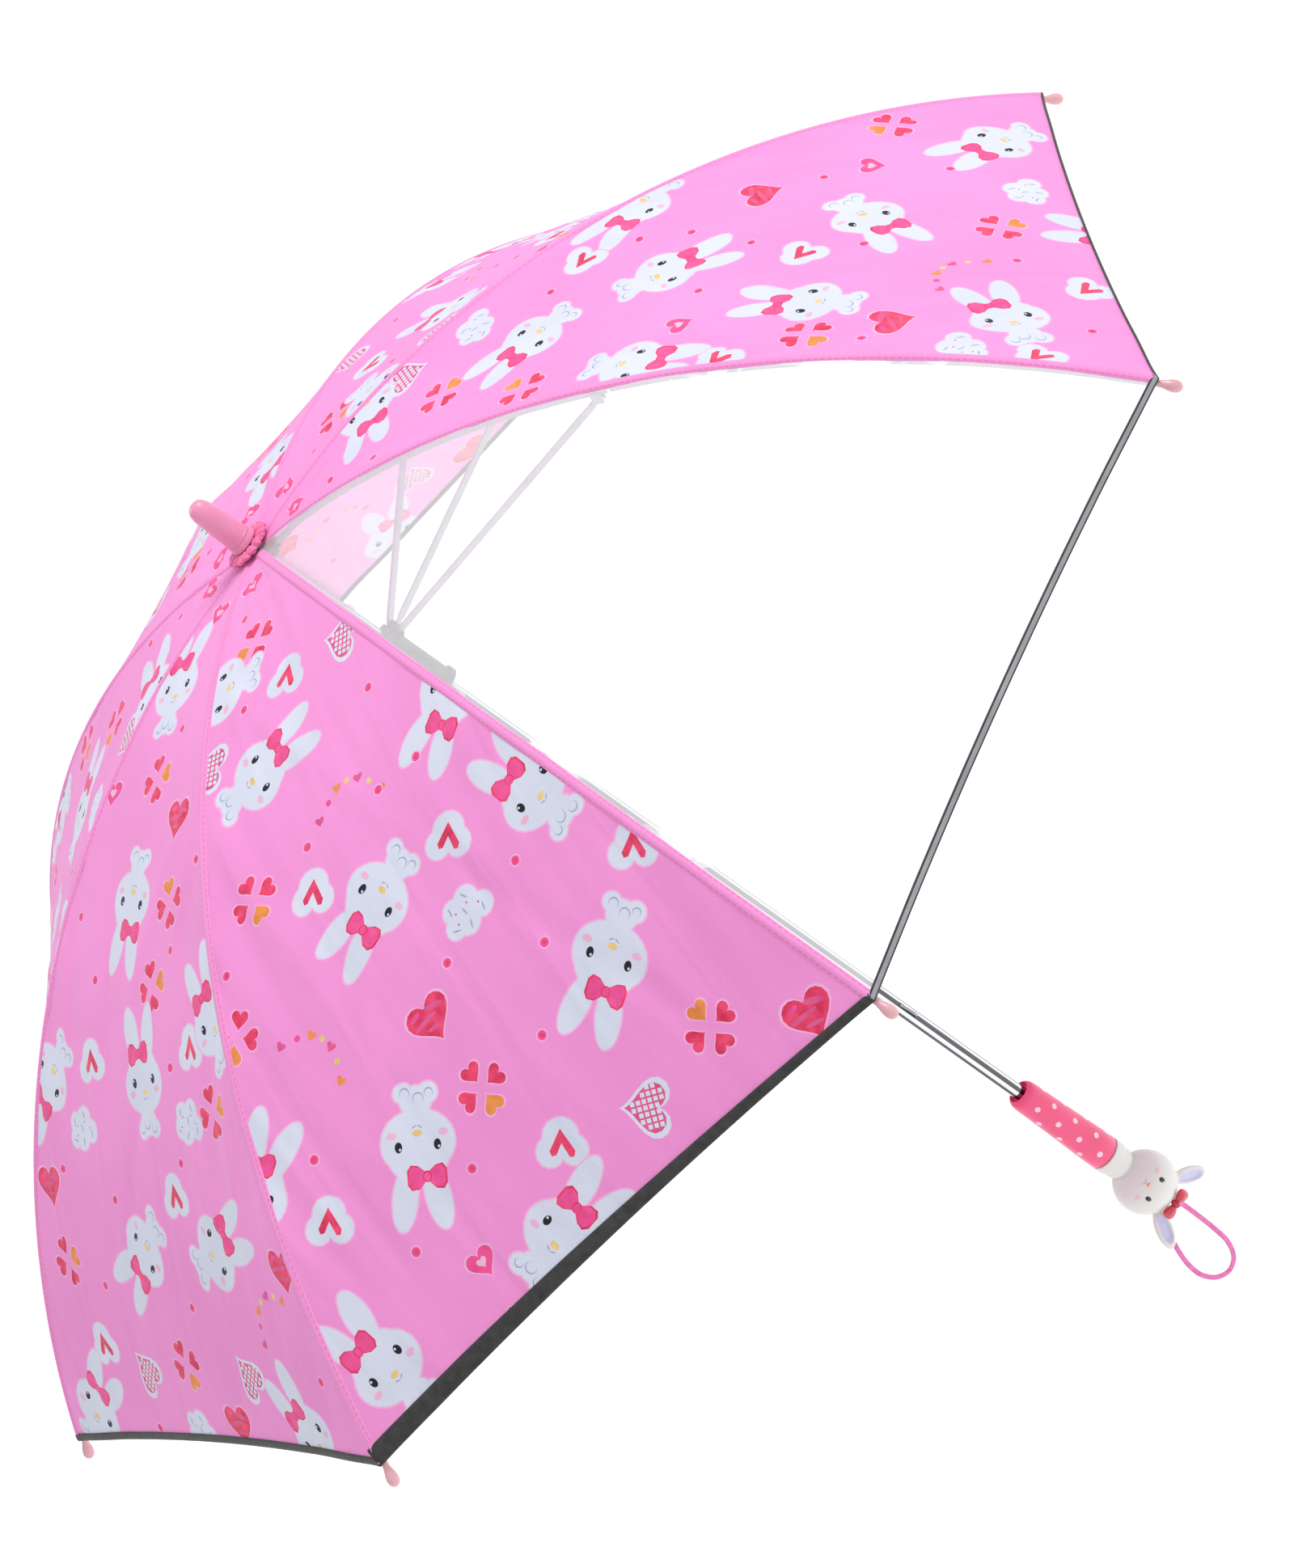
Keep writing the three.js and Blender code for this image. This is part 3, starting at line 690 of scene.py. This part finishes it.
# The print's three repeats: motif, u, v in mm and the turn of its top, in degrees
# clockwise from the crown, seen from outside.
REPEATS = [
    [
        ("bunny", -26, 90, 85), ("bunny", 2, 190, 25), ("bunny", -10, 265, 190),
        ("bunny", 58, 330, -25), ("bunny", -20, 370, 115), ("bunny", 98, 421, -75),
        ("bunny", -98, 446, 35), ("bunny", 73, 240, 150), ("bunny", 6, 492, -15),
        ("bunny", -86, 257, 40), ("flower", 10, 136, 160), ("flower", 51, 182, 250),
        ("flower", 92, 325, 70), ("flower", -1, 433, 160), ("flower", -120, 396, -20),
        ("badge", -51, 224, -135), ("badge", 97, 281, -135), ("badge", 7, 333, -135),
        ("badge", 67, 464, -135), ("badge", 139, 428, -135), ("heart", -65, 322, 10),
        ("heart", 92, 367, 5), ("cloud", -36, 160, 0), ("cloud", -42, 452, 0),
        ("cloud", 126, 394, 20), ("small", 49, 267, 10), ("small", -77, 380, -10),
        ("garland", 41, 398, -45), ("hatched", -30, 118, 0), ("small", 4, 36, 0),
    ],
    [
        ("flower", 4, 88, 45), ("badge", -9, 131, 145), ("hatched", -45, 143, 230),
        ("hatched", 50, 140, 230), ("bunny", 24, 170, -90), ("garland", -17, 217, -20),
        ("flower", 54, 228, 135), ("badge", 25, 250, 145), ("badge", -48, 283, 145),
        ("bunny", -84, 226, 120), ("bunny", -1, 279, 105), ("bunny", -95, 299, 15),
        ("cloud", -36, 318, 0), ("garland", 58, 312, -65), ("flower", 95, 279, 90),
        ("heart", 8, 345, 0), ("bunny", 129, 345, -60), ("bunny", -78, 384, 120),
        ("bunny", 48, 384, 145), ("flower", 7, 386, 135), ("badge", 105, 381, 145),
        ("badge", -7, 430, 145), ("badge", -119, 354, 145), ("flower", -95, 439, -45),
        ("hatched", -48, 445, 230), ("small", 58, 445, 0), ("bunny", 126, 449, 10),
        ("heart", -133, 466, -10), ("bunny", 21, 461, -85), ("small", 0, 40, 10),
        ("bunny", 30, 100, 70),
    ],
    [
        ("bunny", 10, 84, 5), ("flower", 1, 136, 240), ("heart", -33, 161, 0),
        ("flower", -36, 204, -30), ("flower", -22, 245, 240), ("bunny", 7, 200, 170),
        ("bunny", -10, 292, 5), ("badge", -63, 277, 185), ("badge", 46, 279, 185),
        ("bunny", 92, 286, 130), ("bunny", -88, 265, 30), ("cloud", -56, 313, 0),
        ("cloud", 60, 313, 10), ("flower", -82, 309, 240), ("heart", 105, 342, 0),
        ("heart", -126, 386, 0), ("badge", -29, 349, 185), ("badge", 88, 425, 185),
        ("bunny", -61, 377, -70), ("bunny", 17, 377, 125), ("flower", 102, 381, 240),
        ("flower", 5, 435, 150), ("garland", -95, 401, 35), ("hatched", -58, 439, 215),
        ("hatched", 51, 439, 215), ("heart", -29, 466, 0), ("bunny", -102, 469, 30),
        ("bunny", 122, 462, -50), ("cloud", 14, 470, 0), ("small", 46, 140, 0),
        ("small", -2, 42, 0),
    ],
]
DOTS = [  # u and v of each repeat's dots
    [
        (26, 92), (-34, 204), (-51, 255), (-41, 282), (20, 279), (-71, 354), (7, 364),
        (105, 350), (133, 381), (36, 435), (-68, 418), (12, 62), (112, 458), (-16, 310),
    ],
    [
        (20, 126), (17, 228), (-29, 235), (-54, 238), (-48, 184), (-69, 318), (-58, 357),
        (-14, 330), (94, 354), (-31, 388), (80, 420), (62, 470), (8, 62), (84, 250), (34, 410),
    ],
    [
        (-61, 184), (-41, 228), (41, 238), (61, 204), (-41, 286), (-41, 333), (37, 350),
        (68, 394), (88, 333), (-130, 440), (60, 470), (-20, 405), (-12, 110),
    ],
]


def placed(motif, u, v, degrees):
    """The motif's layers in panel coordinates, u to the right and v away from the crown."""
    a = radians(degrees)
    c, s = cos(a), sin(a)
    out = []
    for colour, pts in MOTIFS[motif]:
        x, y = pts[:, 0], pts[:, 1]
        out.append((colour, np.stack([u + x * c + y * s, v + x * s - y * c], -1)))
    return out


def meshed(boundary, lines, layers, filling):
    """Triangles over a flat region that follow every outline drawn on it.

    boundary is a closed polygon, lines open polylines, layers (colour, polygon) from
    the bottom up, and filling extra points. Gives points, triangles and each
    triangle's top layer, -1 for the ground."""
    pts, edges = [], []

    def trace(polyline, closed):
        base = len(pts)
        pts.extend(Vector((float(p[0]), float(p[1]))) for p in polyline)
        last = len(polyline) if closed else len(polyline) - 1
        edges.extend((base + i, base + (i + 1) % len(polyline)) for i in range(last))

    trace(boundary, True)
    for line in lines:
        trace(line, False)
    for _, polygon in layers:
        trace(polygon, True)
    pts.extend(Vector((float(p[0]), float(p[1]))) for p in filling)
    verts, _, faces, *_ = delaunay_2d_cdt(pts, edges, [], 0, 1e-4)
    verts = np.array([tuple(v) for v in verts])
    faces = np.array([f for f in faces if len(f) == 3])
    mid = verts[faces].mean(1)
    keep = inside(mid, np.asarray(boundary))
    faces, mid = faces[keep], mid[keep]
    top = np.full(len(faces), -1)
    for k, (_, polygon) in enumerate(layers):
        top[inside(mid, polygon)] = k
    return verts, faces, top


# ------------------------------------------------------------------ canopy pieces

def gore_outline():
    v = np.linspace(HOLE, ARC, 60)
    w = half_width(v)
    w_hem = half_width(ARC)
    u = np.linspace(w_hem, -w_hem, 44)[1:-1]
    right = np.stack([w, v], -1)
    foot = np.stack([u, hem(u)], -1)
    left = np.stack([-w[::-1], v[::-1]], -1)
    return np.concatenate([right, foot, left])


def gore_filling(step):
    pts = []
    rows = int((ARC - HOLE) / step)
    for j in range(1, rows):
        v = HOLE + (ARC - HOLE - 4) * j / rows
        w = float(half_width(v))
        count = max(1, int(2 * w / step))
        for i in range(1, count):
            pts.append((-w + 2 * w * i / count + (0.3 * step if j % 2 else 0), v))
    return pts


def gore_quarters(n, verts, faces, tops):
    """Splits a gore at its middle and at the rib joint, and gives each share its rib."""
    mid = verts[faces].mean(1)
    for side in (-1, 1):
        rib = n if side < 0 else n % RIBS + 1
        for outer in (False, True):
            pick = (np.sign(mid[:, 0]) == side) & ((mid[:, 1] > SPLIT) == outer)
            used, flat = np.unique(faces[pick], return_inverse=True)
            yield rib, side, outer, verts[used], flat.reshape(-1, 3), tops[pick]


def squash_frame(n, side, outer):
    """The direction a quarter gathers along, and a point on its rib's line."""
    ends = (SPLIT, ARC) if outer else (HOLE, SPLIT)
    v = np.linspace(ends[0], ends[1], 9)
    line = on_panel(n, side * half_width(v), v)
    chord = line[-1] - line[0]
    chord /= np.linalg.norm(chord)
    to_middle = spin_z(np.array([[0.0, float(side), 0.0]]), centre_of(n))[0]
    e = to_middle - chord * (to_middle @ chord)
    e /= np.linalg.norm(e)
    spread = line @ e
    anchor = line[0] + e * ((spread.max() + spread.min()) / 2 - spread[0])
    return tuple(e), tuple(anchor)


def gather(obj, n, side, outer):
    axis, anchor = squash_frame(n, side, outer)
    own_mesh(obj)


def oriented(points, faces, normals):
    """Faces turned so that they look the same way as their vertex normals."""
    a, b, c = (points[faces[:, k]] for k in range(3))
    flip = (np.cross(b - a, c - a) * normals[faces[:, 0]]).sum(1) < 0
    out = faces.copy()
    out[flip] = out[flip][:, ::-1]
    return out


def make_gore(n):
    """One panel, in quarters that each ride on a rib."""
    clear = n == CLEAR
    layers = []
    if not clear:
        repeat = {1: 0, 3: 1, 4: 2, 5: 0, 6: 1, 7: 2, 8: 1}[n]
        for motif, u, v, degrees in REPEATS[repeat]:
            layers += placed(motif, u, v, degrees)
        for u, v in DOTS[repeat]:
            layers += placed("dot", u, v, 0)
    cuts = [np.array([(0.0, v) for v in np.linspace(HOLE, ARC, 90)]),
            np.array([(u, SPLIT) for u in np.linspace(-200, 200, 81)])]
    step = 6.0
    verts, faces, tops = meshed(gore_outline(), cuts, layers, gore_filling(step))
    keys = ["film"] if clear else ["ground"] + sorted({c for c, _ in layers})
    colour_of = np.array([0] + [keys.index(c) for c, _ in layers])
    for rib, side, outer, uv, tri, top in gore_quarters(n, verts, faces, tops):
        points = on_panel(n, uv[:, 0], uv[:, 1])
        normals = surface_normals(n, uv[:, 0], uv[:, 1])
        tri = oriented(points, tri, normals)
        name = f"panel_{n}_{'a' if side < 0 else 'b'}_{'outer' if outer else 'inner'}"
        body = f"rib_end_{rib}" if outer else f"rib_{rib}"
        obj = piece(name, points, tri, keys, body, colour_of[top + 1], normals, uv)
        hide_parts(f"panel_{n}")
        gather(obj, n, side, outer)


def tape_and_shade_width(n, x, w):
    """How wide the dark band at the hem is, x mm from the panel's middle: real tape, widened
    unevenly on panel 3 as painted shade for the shaded inside of the hem.
    """
    # painted shade: panel 3's wide, uneven dark band stands for the shaded inside of the hem, not
    # for wider tape
    if n == 3:
        return 6.6 + 2.6 * sin(x / w * 1.45)
    return {1: 1.1, 2: 3.2, 8: 1.6}.get(n, 3.8)


def make_hem(n, edging):
    """Tape folded over the hem, one length to each side of the panel's middle; on panel 3 the dark
    band is widened into painted shade.
    """
    clear = n == CLEAR
    w = float(half_width(ARC))
    for side in (-1, 1):
        rib = n if side < 0 else n % RIBS + 1
        u = side * np.linspace(0.0, w, 28)
        verts, uvs = [], []
        for x in u:
            wide = tape_and_shade_width(n, x, w)
            section = [(-wide, 0.25), (-wide * 0.93, 0.6), (-wide * 0.66, 0.7),
                       (-wide * 0.3, 0.7), (-0.05 * wide, 0.55), (0.5, 0.1), (0.1, -0.45),
                       (-wide * 0.5, -0.5), (-wide, -0.2)]
            edge = float(hem(x))
            flat = np.array([(x, edge + dv) for dv, _ in section])
            lift = np.array([h for _, h in section])
            verts.extend(on_panel(n, flat[:, 0], flat[:, 1], lift))
            uvs.extend((x, dv) for dv, _ in section)
        faces = grid_faces(len(u), len(section))
        mats = ["vinyl_tape", "tape"] if clear else ["tape"]
        bands = [int(clear and k % 8 in (0, 1, 4, 5)) for k in range(len(faces))]
        name = f"hem_{n}_{'a' if side < 0 else 'b'}"
        obj = piece(name, verts, faces, mats, f"rib_end_{rib}",
                    bands, uvs=uvs)
        tidy_normals(obj)
        gather(obj, n, side, True)
        edging[side, True].append(obj)


def make_seam(n, edging):
    """The felled seam that runs down each rib, in two lengths that meet at its joint."""
    section = [(-2.7, -0.35), (-2.3, 0.25), (-1.0, 0.62), (0, 0.72), (1.0, 0.62), (2.3, 0.25),
               (2.7, -0.35)]
    for outer in (False, True):
        ends = (SPLIT, ARC - 1) if outer else (HOLE + 6, SPLIT)
        v = np.linspace(ends[0], ends[1], 44)
        r, z, t = profile(v)
        verts, uvs = [], []
        for k in range(len(v)):
            for a, lift in section:
                h = lift - 0.25
                x = r[k] - abs(a) * tan(HALF) + h * sin(t[k])
                verts.append((x, a, z[k] + h * cos(t[k])))
                uvs.append((a, v[k]))
        verts = spin_z(np.array(verts), rib_angle(n)) * MM
        faces = grid_faces(len(v), len(section))
        body = f"rib_end_{n}" if outer else f"rib_{n}"
        name = f"seam_{n}_{'outer' if outer else 'inner'}"
        obj = piece(name, verts, faces, ["seam"], body, uvs=uvs)
        tidy_normals(obj)
        edging[-1, outer].append(obj)


for number in range(1, RIBS + 1):
    sewn_on = {(side, outer): [] for side in (-1, 1) for outer in (False, True)}
    make_hem(number, sewn_on)
    make_seam(number, sewn_on)
    make_gore(number)


# ------------------------------------------------------------------- crown pieces

def make_rosette():
    """A ring of gathered satin, scrunched under the ferrule."""
    rows, columns = 36, 360
    verts = []
    for j in range(rows + 1):
        p = 2 * pi * (j % rows) / rows
        for i in range(columns):
            a = 2 * pi * i / columns
            fold = sin(15 * a + 0.9 * sin(2 * a) + 1.3 * sin(p + 3 * a))
            fine = sin(29 * a + 2.3 * sin(p) + 1.4 * sin(5 * a))
            puff = 1 + 0.15 * fold + 0.08 * fine
            r = 9.1 + 3.75 * cos(p) * puff + 0.35 * fold * sin(p)
            z = 3.95 + (1.9 if p < pi else 1.42) * sin(p) * puff
            verts.append((r * MM * cos(a), r * MM * sin(a), (CROWN_Z + z) * MM))
    obj = piece("rosette_scrunch", verts, grid_faces(rows + 1, columns, wrap=True),
                ["rosette"], "frame")
    tidy_normals(obj)
    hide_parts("rosette")


def make_crown():
    cap = spun("ferrule", [(4.5, 6.0), (7.5, 6.0), (7.8, 6.6), (7.75, 7.6), (7.2, 9.2),
                           (6.95, 12), (6.6, 22), (6.35, 29), (6.1, 32.4), (5.3, 35.4),
                           (3.9, 37.5), (2.1, 38.4), (0, 38.6)],
               "pale", "frame", z0=CROWN_Z, bevel=0.8)
    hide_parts("ferrule_cap")
    spun("ferrule_band", [(6.9, 9.9), (7.28, 10.1), (7.28, 10.9), (6.9, 11.1)],
         "pale", "frame", z0=CROWN_Z)


def make_tips():
    """A moulded ball on each rib's end, with a short collar that grips the rib."""
    end = 0.994 * ARC
    r, z, t = (float(x) for x in profile(end))
    drop = 3.2
    base = np.array([r - drop * sin(t), 0, z - drop * cos(t)])
    out = np.array([cos(t), 0, -sin(t)])
    up = np.array([sin(t), 0, cos(t)])
    side = np.array([0, 1.0, 0])
    shape = rounded([(0, 0.3), (1.6, 0.3), (1.65, 4.4), (2.0, 6.0), (2.7, 8.2), (3.0, 10.2),
                     (2.8, 12.2), (1.9, 13.7), (0, 14.5)], 0.9)
    sides = 40
    for n in range(1, RIBS + 1):
        verts = []
        for radius, x in shape:
            for i in range(sides):
                a = 2 * pi * i / sides
                verts.append(base + out * x + (up * cos(a) + side * sin(a)) * radius)
        verts = spin_z(np.array(verts), rib_angle(n)) * MM
        obj = piece(f"tip_{n}", verts, grid_faces(len(shape), sides, wrap=True), ["ball"],
                    f"rib_end_{n}")
        tidy_normals(obj)
        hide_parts(f"rib_tip_{n}")


make_rosette()
make_crown()
make_tips()


# ----------------------------------------------------------------- shaft and grip

def make_shaft():
    """The bright tube, with the two slots that its spring catches stand in."""
    low, high = SHAFT_FOOT, CROWN_Z + SHAFT_OVER_CROWN
    tube = spun("shaft_tube", [(3.3, low), (4.0, low), (4.0, high), (3.3, high), (3.3, low)],
                "chrome", "frame", sides=72)
    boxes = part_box("top_catch"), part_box("bottom_catch")
    for k, (a, b) in enumerate(boxes):
        bpy.ops.mesh.primitive_cube_add(size=1)
        cutter = bpy.context.object
        cutter.name = f"cutter_{k}"
        cutter.scale = (0.002, 0.003, b[2] - a[2] + 0.001)
        cutter.location = (0, -0.0035, (a[2] + b[2]) / 2)
        cut = tube.modifiers.new("slot", "BOOLEAN")
        cut.object = cutter
        cut.operation = "DIFFERENCE"
        bpy.context.view_layer.update()
        bpy.context.view_layer.objects.active = tube
        bpy.ops.object.modifier_apply(modifier=cut.name)
        bpy.data.objects.remove(cutter)
    for p in tube.data.polygons:
        p.use_smooth = True
    tube.data.set_sharp_from_angle(angle=radians(40))
    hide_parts("shaft")


GRIP_SIDE = [(-32.5, 9.3), (-32.1, 9.75), (-31.2, 10.0), (-24, 9.93), (-12, 9.6), (0, 9.25),
             (12, 8.98), (22, 8.8), (27, 8.7), (29.8, 8.35), (31.5, 7.6), (32.3, 6.8)]


def make_grip():
    """The moulded grip, with dots inlaid in staggered rows."""
    zs = np.array([z for z, _ in GRIP_SIDE])
    rs = np.array([r for _, r in GRIP_SIDE])
    unit = 9.3
    turn = 2 * pi * unit
    rows = 8
    layers = []
    for k in range(rows):
        for j in range(-3, 4):
            z = j * 15.6 + (7.8 if k % 2 else 0) - 2.0
            if -28 < z < 28:
                x = turn * (k + 0.25) / rows - turn / 2
                layers.append(("dots", ring(x, z, 1.6, 1.6, 0, 20)))
    edge = [(-turn / 2, GRIP_FOOT), (turn / 2, GRIP_FOOT), (turn / 2, GRIP_TOP),
            (-turn / 2, GRIP_TOP)]
    filling = []
    for z in np.concatenate([np.linspace(-32.1, 31.9, 44), [-31.2, 31.0, 31.6, 29.8]]):
        filling += [(-turn / 2 + turn * i / 72, float(z)) for i in range(0, 73)]
    filling += [(-turn / 2 + turn * i / 72, z) for i in range(1, 72)
                for z in (GRIP_FOOT, GRIP_TOP)]
    verts, faces, top = meshed(edge, [], layers, filling)
    a = verts[:, 0] / unit
    r = np.interp(verts[:, 1], zs, rs)
    points = np.stack([r * np.cos(a), r * np.sin(a), verts[:, 1]], -1) * MM
    slope = np.interp(verts[:, 1], zs, np.gradient(rs, zs))
    normals = np.stack([np.cos(a), np.sin(a), -slope], -1)
    normals /= np.linalg.norm(normals, axis=1)[:, None]
    faces = oriented(points, faces, normals)
    grip = piece("grip_skin", points, faces, ["grip", "dots"], "frame",
                 np.where(top < 0, 0, 1), normals, verts)
    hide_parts("grip")
    spun("grip_mouth", [(6.8, 32.3), (6.55, 32.5), (6.25, 32.35), (6.15, 31.8), (6.1, 29.6),
                        (4.15, 29.4)], "grip", "frame", bevel=0.15)
    spun("grip_foot", [(0, -32.5), (9.3, -32.5)], "grip", "frame")
    collar = spun("collar_ring", [(0, -46.3), (7.9, -46.3), (8.25, -46.0), (8.3, -44.9),
                                  (9.2, -44.4), (9.4, -43.9), (9.4, -39.4), (9.9, -38.9),
                                  (10.1, -38.3), (10.1, -33.6), (9.8, -32.95), (0, -32.9)],
                  "shell", "frame", bevel=0.35)
    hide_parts("collar")


make_shaft()
make_grip()


# --------------------------------------------------------------------- small head

def head_point(azimuth, elevation, radius):
    """In mm: azimuth from the way the face looks, elevation towards the chin."""
    a, e = radians(azimuth), radians(elevation)
    local = np.array([[radius * cos(e) * cos(a), radius * cos(e) * sin(a),
                       HEAD_Z + radius * sin(e)]])
    return spin_z(local, FACE)[0]


def dome(name, mat, azimuth, elevation, rx, ry, height, turn=0.0, sink=0.25):
    """A low oval button lying on the head."""
    centre = head_point(azimuth, elevation, HEAD_R - sink)
    out = head_point(azimuth, elevation, 1.0) - head_point(azimuth, elevation, 0.0)
    up = np.array([0, 0, 1.0]) - out * out[2]
    up /= np.linalg.norm(up)
    across = np.cross(up, out)
    c, s = cos(turn), sin(turn)
    axis_x, axis_y = across * c + up * s, up * c - across * s
    rows, columns = 9, 28
    verts = []
    for j in range(rows):
        f = sin(0.5 * pi * j / (rows - 1))
        h = (height + sink) * sqrt(max(0.0, 1 - f * f))
        for i in range(columns):
            a = 2 * pi * i / columns
            x, y = rx * f * cos(a), ry * f * sin(a)
            fall = HEAD_R - sqrt(HEAD_R ** 2 - x * x - y * y)
            verts.append((centre + axis_x * x + axis_y * y + out * (h - fall)) * MM)
    obj = piece(name, verts, grid_faces(rows, columns, wrap=True), [mat], "frame")
    tidy_normals(obj)
    return obj


def ear(name, side, splay, forward, lean, node):
    """A flattened ear with a softer inner face, its foot sunk into the head."""
    rows, columns = 25, 40
    half = 12.0
    verts = []
    for j in range(rows):
        p = pi * j / (rows - 1)
        for i in range(columns):
            a = 2 * pi * i / columns
            hollow = 1.0
            x = 3.1 * sin(p) * cos(a)
            y = 5.1 * sin(p) * sin(a)
            z = (half - 0.2) * cos(p)
            if cos(a) > 0:
                inner = max(0.0, 1 - (y / 3.3) ** 2 - (z / 8.8) ** 2)
                hollow = 1 - 0.75 * min(1.0, 2.2 * inner)
            verts.append((x * hollow, y, z))
    deg = radians
    turn = (Matrix.Rotation(FACE, 4, "Z") @ Matrix.Translation((0, 0, HEAD_Z * MM))
            @ Matrix.Rotation(side * deg(splay), 4, "X")
            @ Matrix.Rotation(-deg(forward), 4, "Y")
            @ Matrix.Translation((0, 0, (0.5 - HEAD_R) * MM))
            @ Matrix.Rotation(deg(lean), 4, "Y") @ Matrix.Translation((0, 0, (1.5 - half) * MM)))
    mapped = [turn @ (Vector(v) * MM) for v in verts]
    faces = grid_faces(rows, columns, wrap=True)
    mats = []
    for f in faces:
        x, y, z = (np.mean([verts[k][c] for k in f]) for c in range(3))
        mats.append(1 if x > 0 and (y / 3.3) ** 2 + (z / 8.8) ** 2 < 1 else 0)
    obj = piece(name, mapped, faces, ["shell", "ear"], "frame", mats)
    tidy_normals(obj)
    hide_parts(node)


def make_bow():
    """Two puffed loops with gathers, and a knot, lying on the head between the ears."""
    down = radians(52)
    out = HEAD_R + 2.4
    base = (Matrix.Rotation(FACE, 4, "Z")
            @ Matrix.Translation((out * cos(down) * MM, 0,
                                  (HEAD_Z - out * sin(down)) * MM))
            @ Matrix.Rotation(radians(25), 4, "Y"))
    verts, faces = [], []
    rows, columns = 18, 36
    for side in (-1, 1):
        start = len(verts)
        for j in range(rows):
            f = j / (rows - 1)
            half_h = 1.2 + 4.0 * sin(min(1.0, f * 1.15) * pi / 2) ** 0.8
            close = sqrt(max(0.0, 1 - max(0.0, (f - 0.72) / 0.28) ** 2))
            thick = (0.9 + 1.35 * sin(f * pi) ** 0.7) * close + 0.02
            for i in range(columns):
                a = 2 * pi * i / columns
                gather_line = 1 + 0.12 * sin(5 * a) * (1 - f)
                x = thick * cos(a) * gather_line
                z = half_h * sin(a) * (0.25 + 0.75 * close if f > 0.72 else 1.0)
                verts.append(base @ (Vector((x, side * (0.8 + 8.4 * f), z)) * MM))
        faces += [tuple(start + k for k in f) for f in grid_faces(rows, columns, wrap=True)]
        faces.append(tuple(range(start + (rows - 1) * columns, start + rows * columns)))
    start = len(verts)
    for j in range(15):
        p = pi * j / 14
        for i in range(24):
            a = 2 * pi * i / 24
            r = 1 + 0.06 * sin(6 * a)
            verts.append(base @ (Vector((2.7 * sin(p) * cos(a) * r,
                                         2.2 * sin(p) * sin(a) * r,
                                         2.8 * cos(p))) * MM))
    faces += [tuple(start + k for k in f) for f in grid_faces(15, 24, wrap=True)]
    bow = piece("bow_ribbon", verts, faces, ["bow"], "frame")
    tidy_normals(bow)
    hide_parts("bow")


def make_head():
    neck = asin(7.0 / HEAD_R)
    points = [(0, -46.8), (6.6, -46.8), (7.0, -47.2)]
    for i in range(41):
        a = neck + (pi - neck) * i / 40
        points.append((HEAD_R * sin(a), HEAD_Z + HEAD_R * cos(a)))
    points[-1] = (0, HEAD_Z - HEAD_R)
    head = spun("head_ball", points, "shell", "frame")
    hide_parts("head")
    for side in (-1, 1):
        tag = "left" if side > 0 else "right"
        dome(f"eye_{tag}", "eye", side * 21, 8, 1.45, 1.95, 0.7, 0.12 * side)
        dome(f"eye_glint_{tag}", "shell", side * 21 - 2.2, 5.2, 0.42, 0.42, 0.95)
        dome(f"cheek_{tag}", "cheek", side * 34, 22, 2.1, 1.5, 0.12, 0.0, 0.1)
        dome(f"mouth_{tag}", "nose", side * 3.4, 32, 1.25, 0.32, 0.22, side * 0.55, 0.1)
    dome("nose_button", "nose", 0, 24.5, 1.35, 1.0, 0.75)
    ear("ear_shell_left", 1, 38, 0, 15, "ear_left")
    ear("ear_shell_right", -1, 33, 15, 0, "ear_right")
    spun("cord_eyelet", [(3.4, -82.35), (3.4, -82.75), (2.9, -83.05), (2.3, -82.95),
                         (2.2, -82.3)], "pale", "frame", sides=48)
    make_bow()


make_head()


# ------------------------------------------------------- carried-over CAD pieces

CARRIED = {"crown_hub": "dark", "runner": "dark", "crown_ring": "steel",
           "runner_ring": "steel", "top_catch": "steel", "bottom_catch": "steel"}
for number in range(1, RIBS + 1):
    for kind in ("rib_inner", "rib_outer", "stretcher"):
        CARRIED[f"{kind}_{number}"] = "steel"
for node, key in CARRIED.items():
    target = bpy.data.objects.get(node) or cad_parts[node]
    for s in target.material_slots:
        s.material = M[key]


# --------------------------------------------------------------- floor and lights

def make_stage():
    bpy.ops.mesh.primitive_plane_add(size=24, location=(0, 0, FLOOR_Z))
    floor = bpy.context.object
    floor.name = "floor"
    m, t, p = nodes_of("floor_white")
    mottle(t, p, (0.975, 0.975, 0.975), 0.004, 2.0)
    fill_in(p, Roughness=0.9, Specular_IOR_Level=0.1, Emission_Color=(1, 1, 1, 1),
            Emission_Strength=0.42)
    floor.data.materials.append(m)
    world = bpy.data.worlds.new("studio")
    bpy.context.scene.world = world
    world.use_nodes = True
    back = world.node_tree.nodes["Background"]
    back.inputs["Color"].default_value = (1.0, 0.99, 0.995, 1)
    back.inputs["Strength"].default_value = 0.62
    for name, spot, size, power in (
            ("key", (1.7, -0.9, 2.9), 1.3, 55), ("fill", (-2.4, -2.6, 1.2), 2.6, 7),
            ("rim", (-0.6, 2.8, 2.4), 2.2, 14)):
        data = bpy.data.lights.new(name, "AREA")
        data.size = size
        data.energy = power
        lamp = bpy.data.objects.new(name, data)
        bpy.context.collection.objects.link(lamp)
        lamp.location = spot
        aim = Vector((0, 0, 0.35)) - Vector(spot)
        lamp.rotation_euler = aim.to_track_quat("-Z", "Y").to_euler()
    bpy.context.scene.view_settings.view_transform = "Standard"


make_stage()
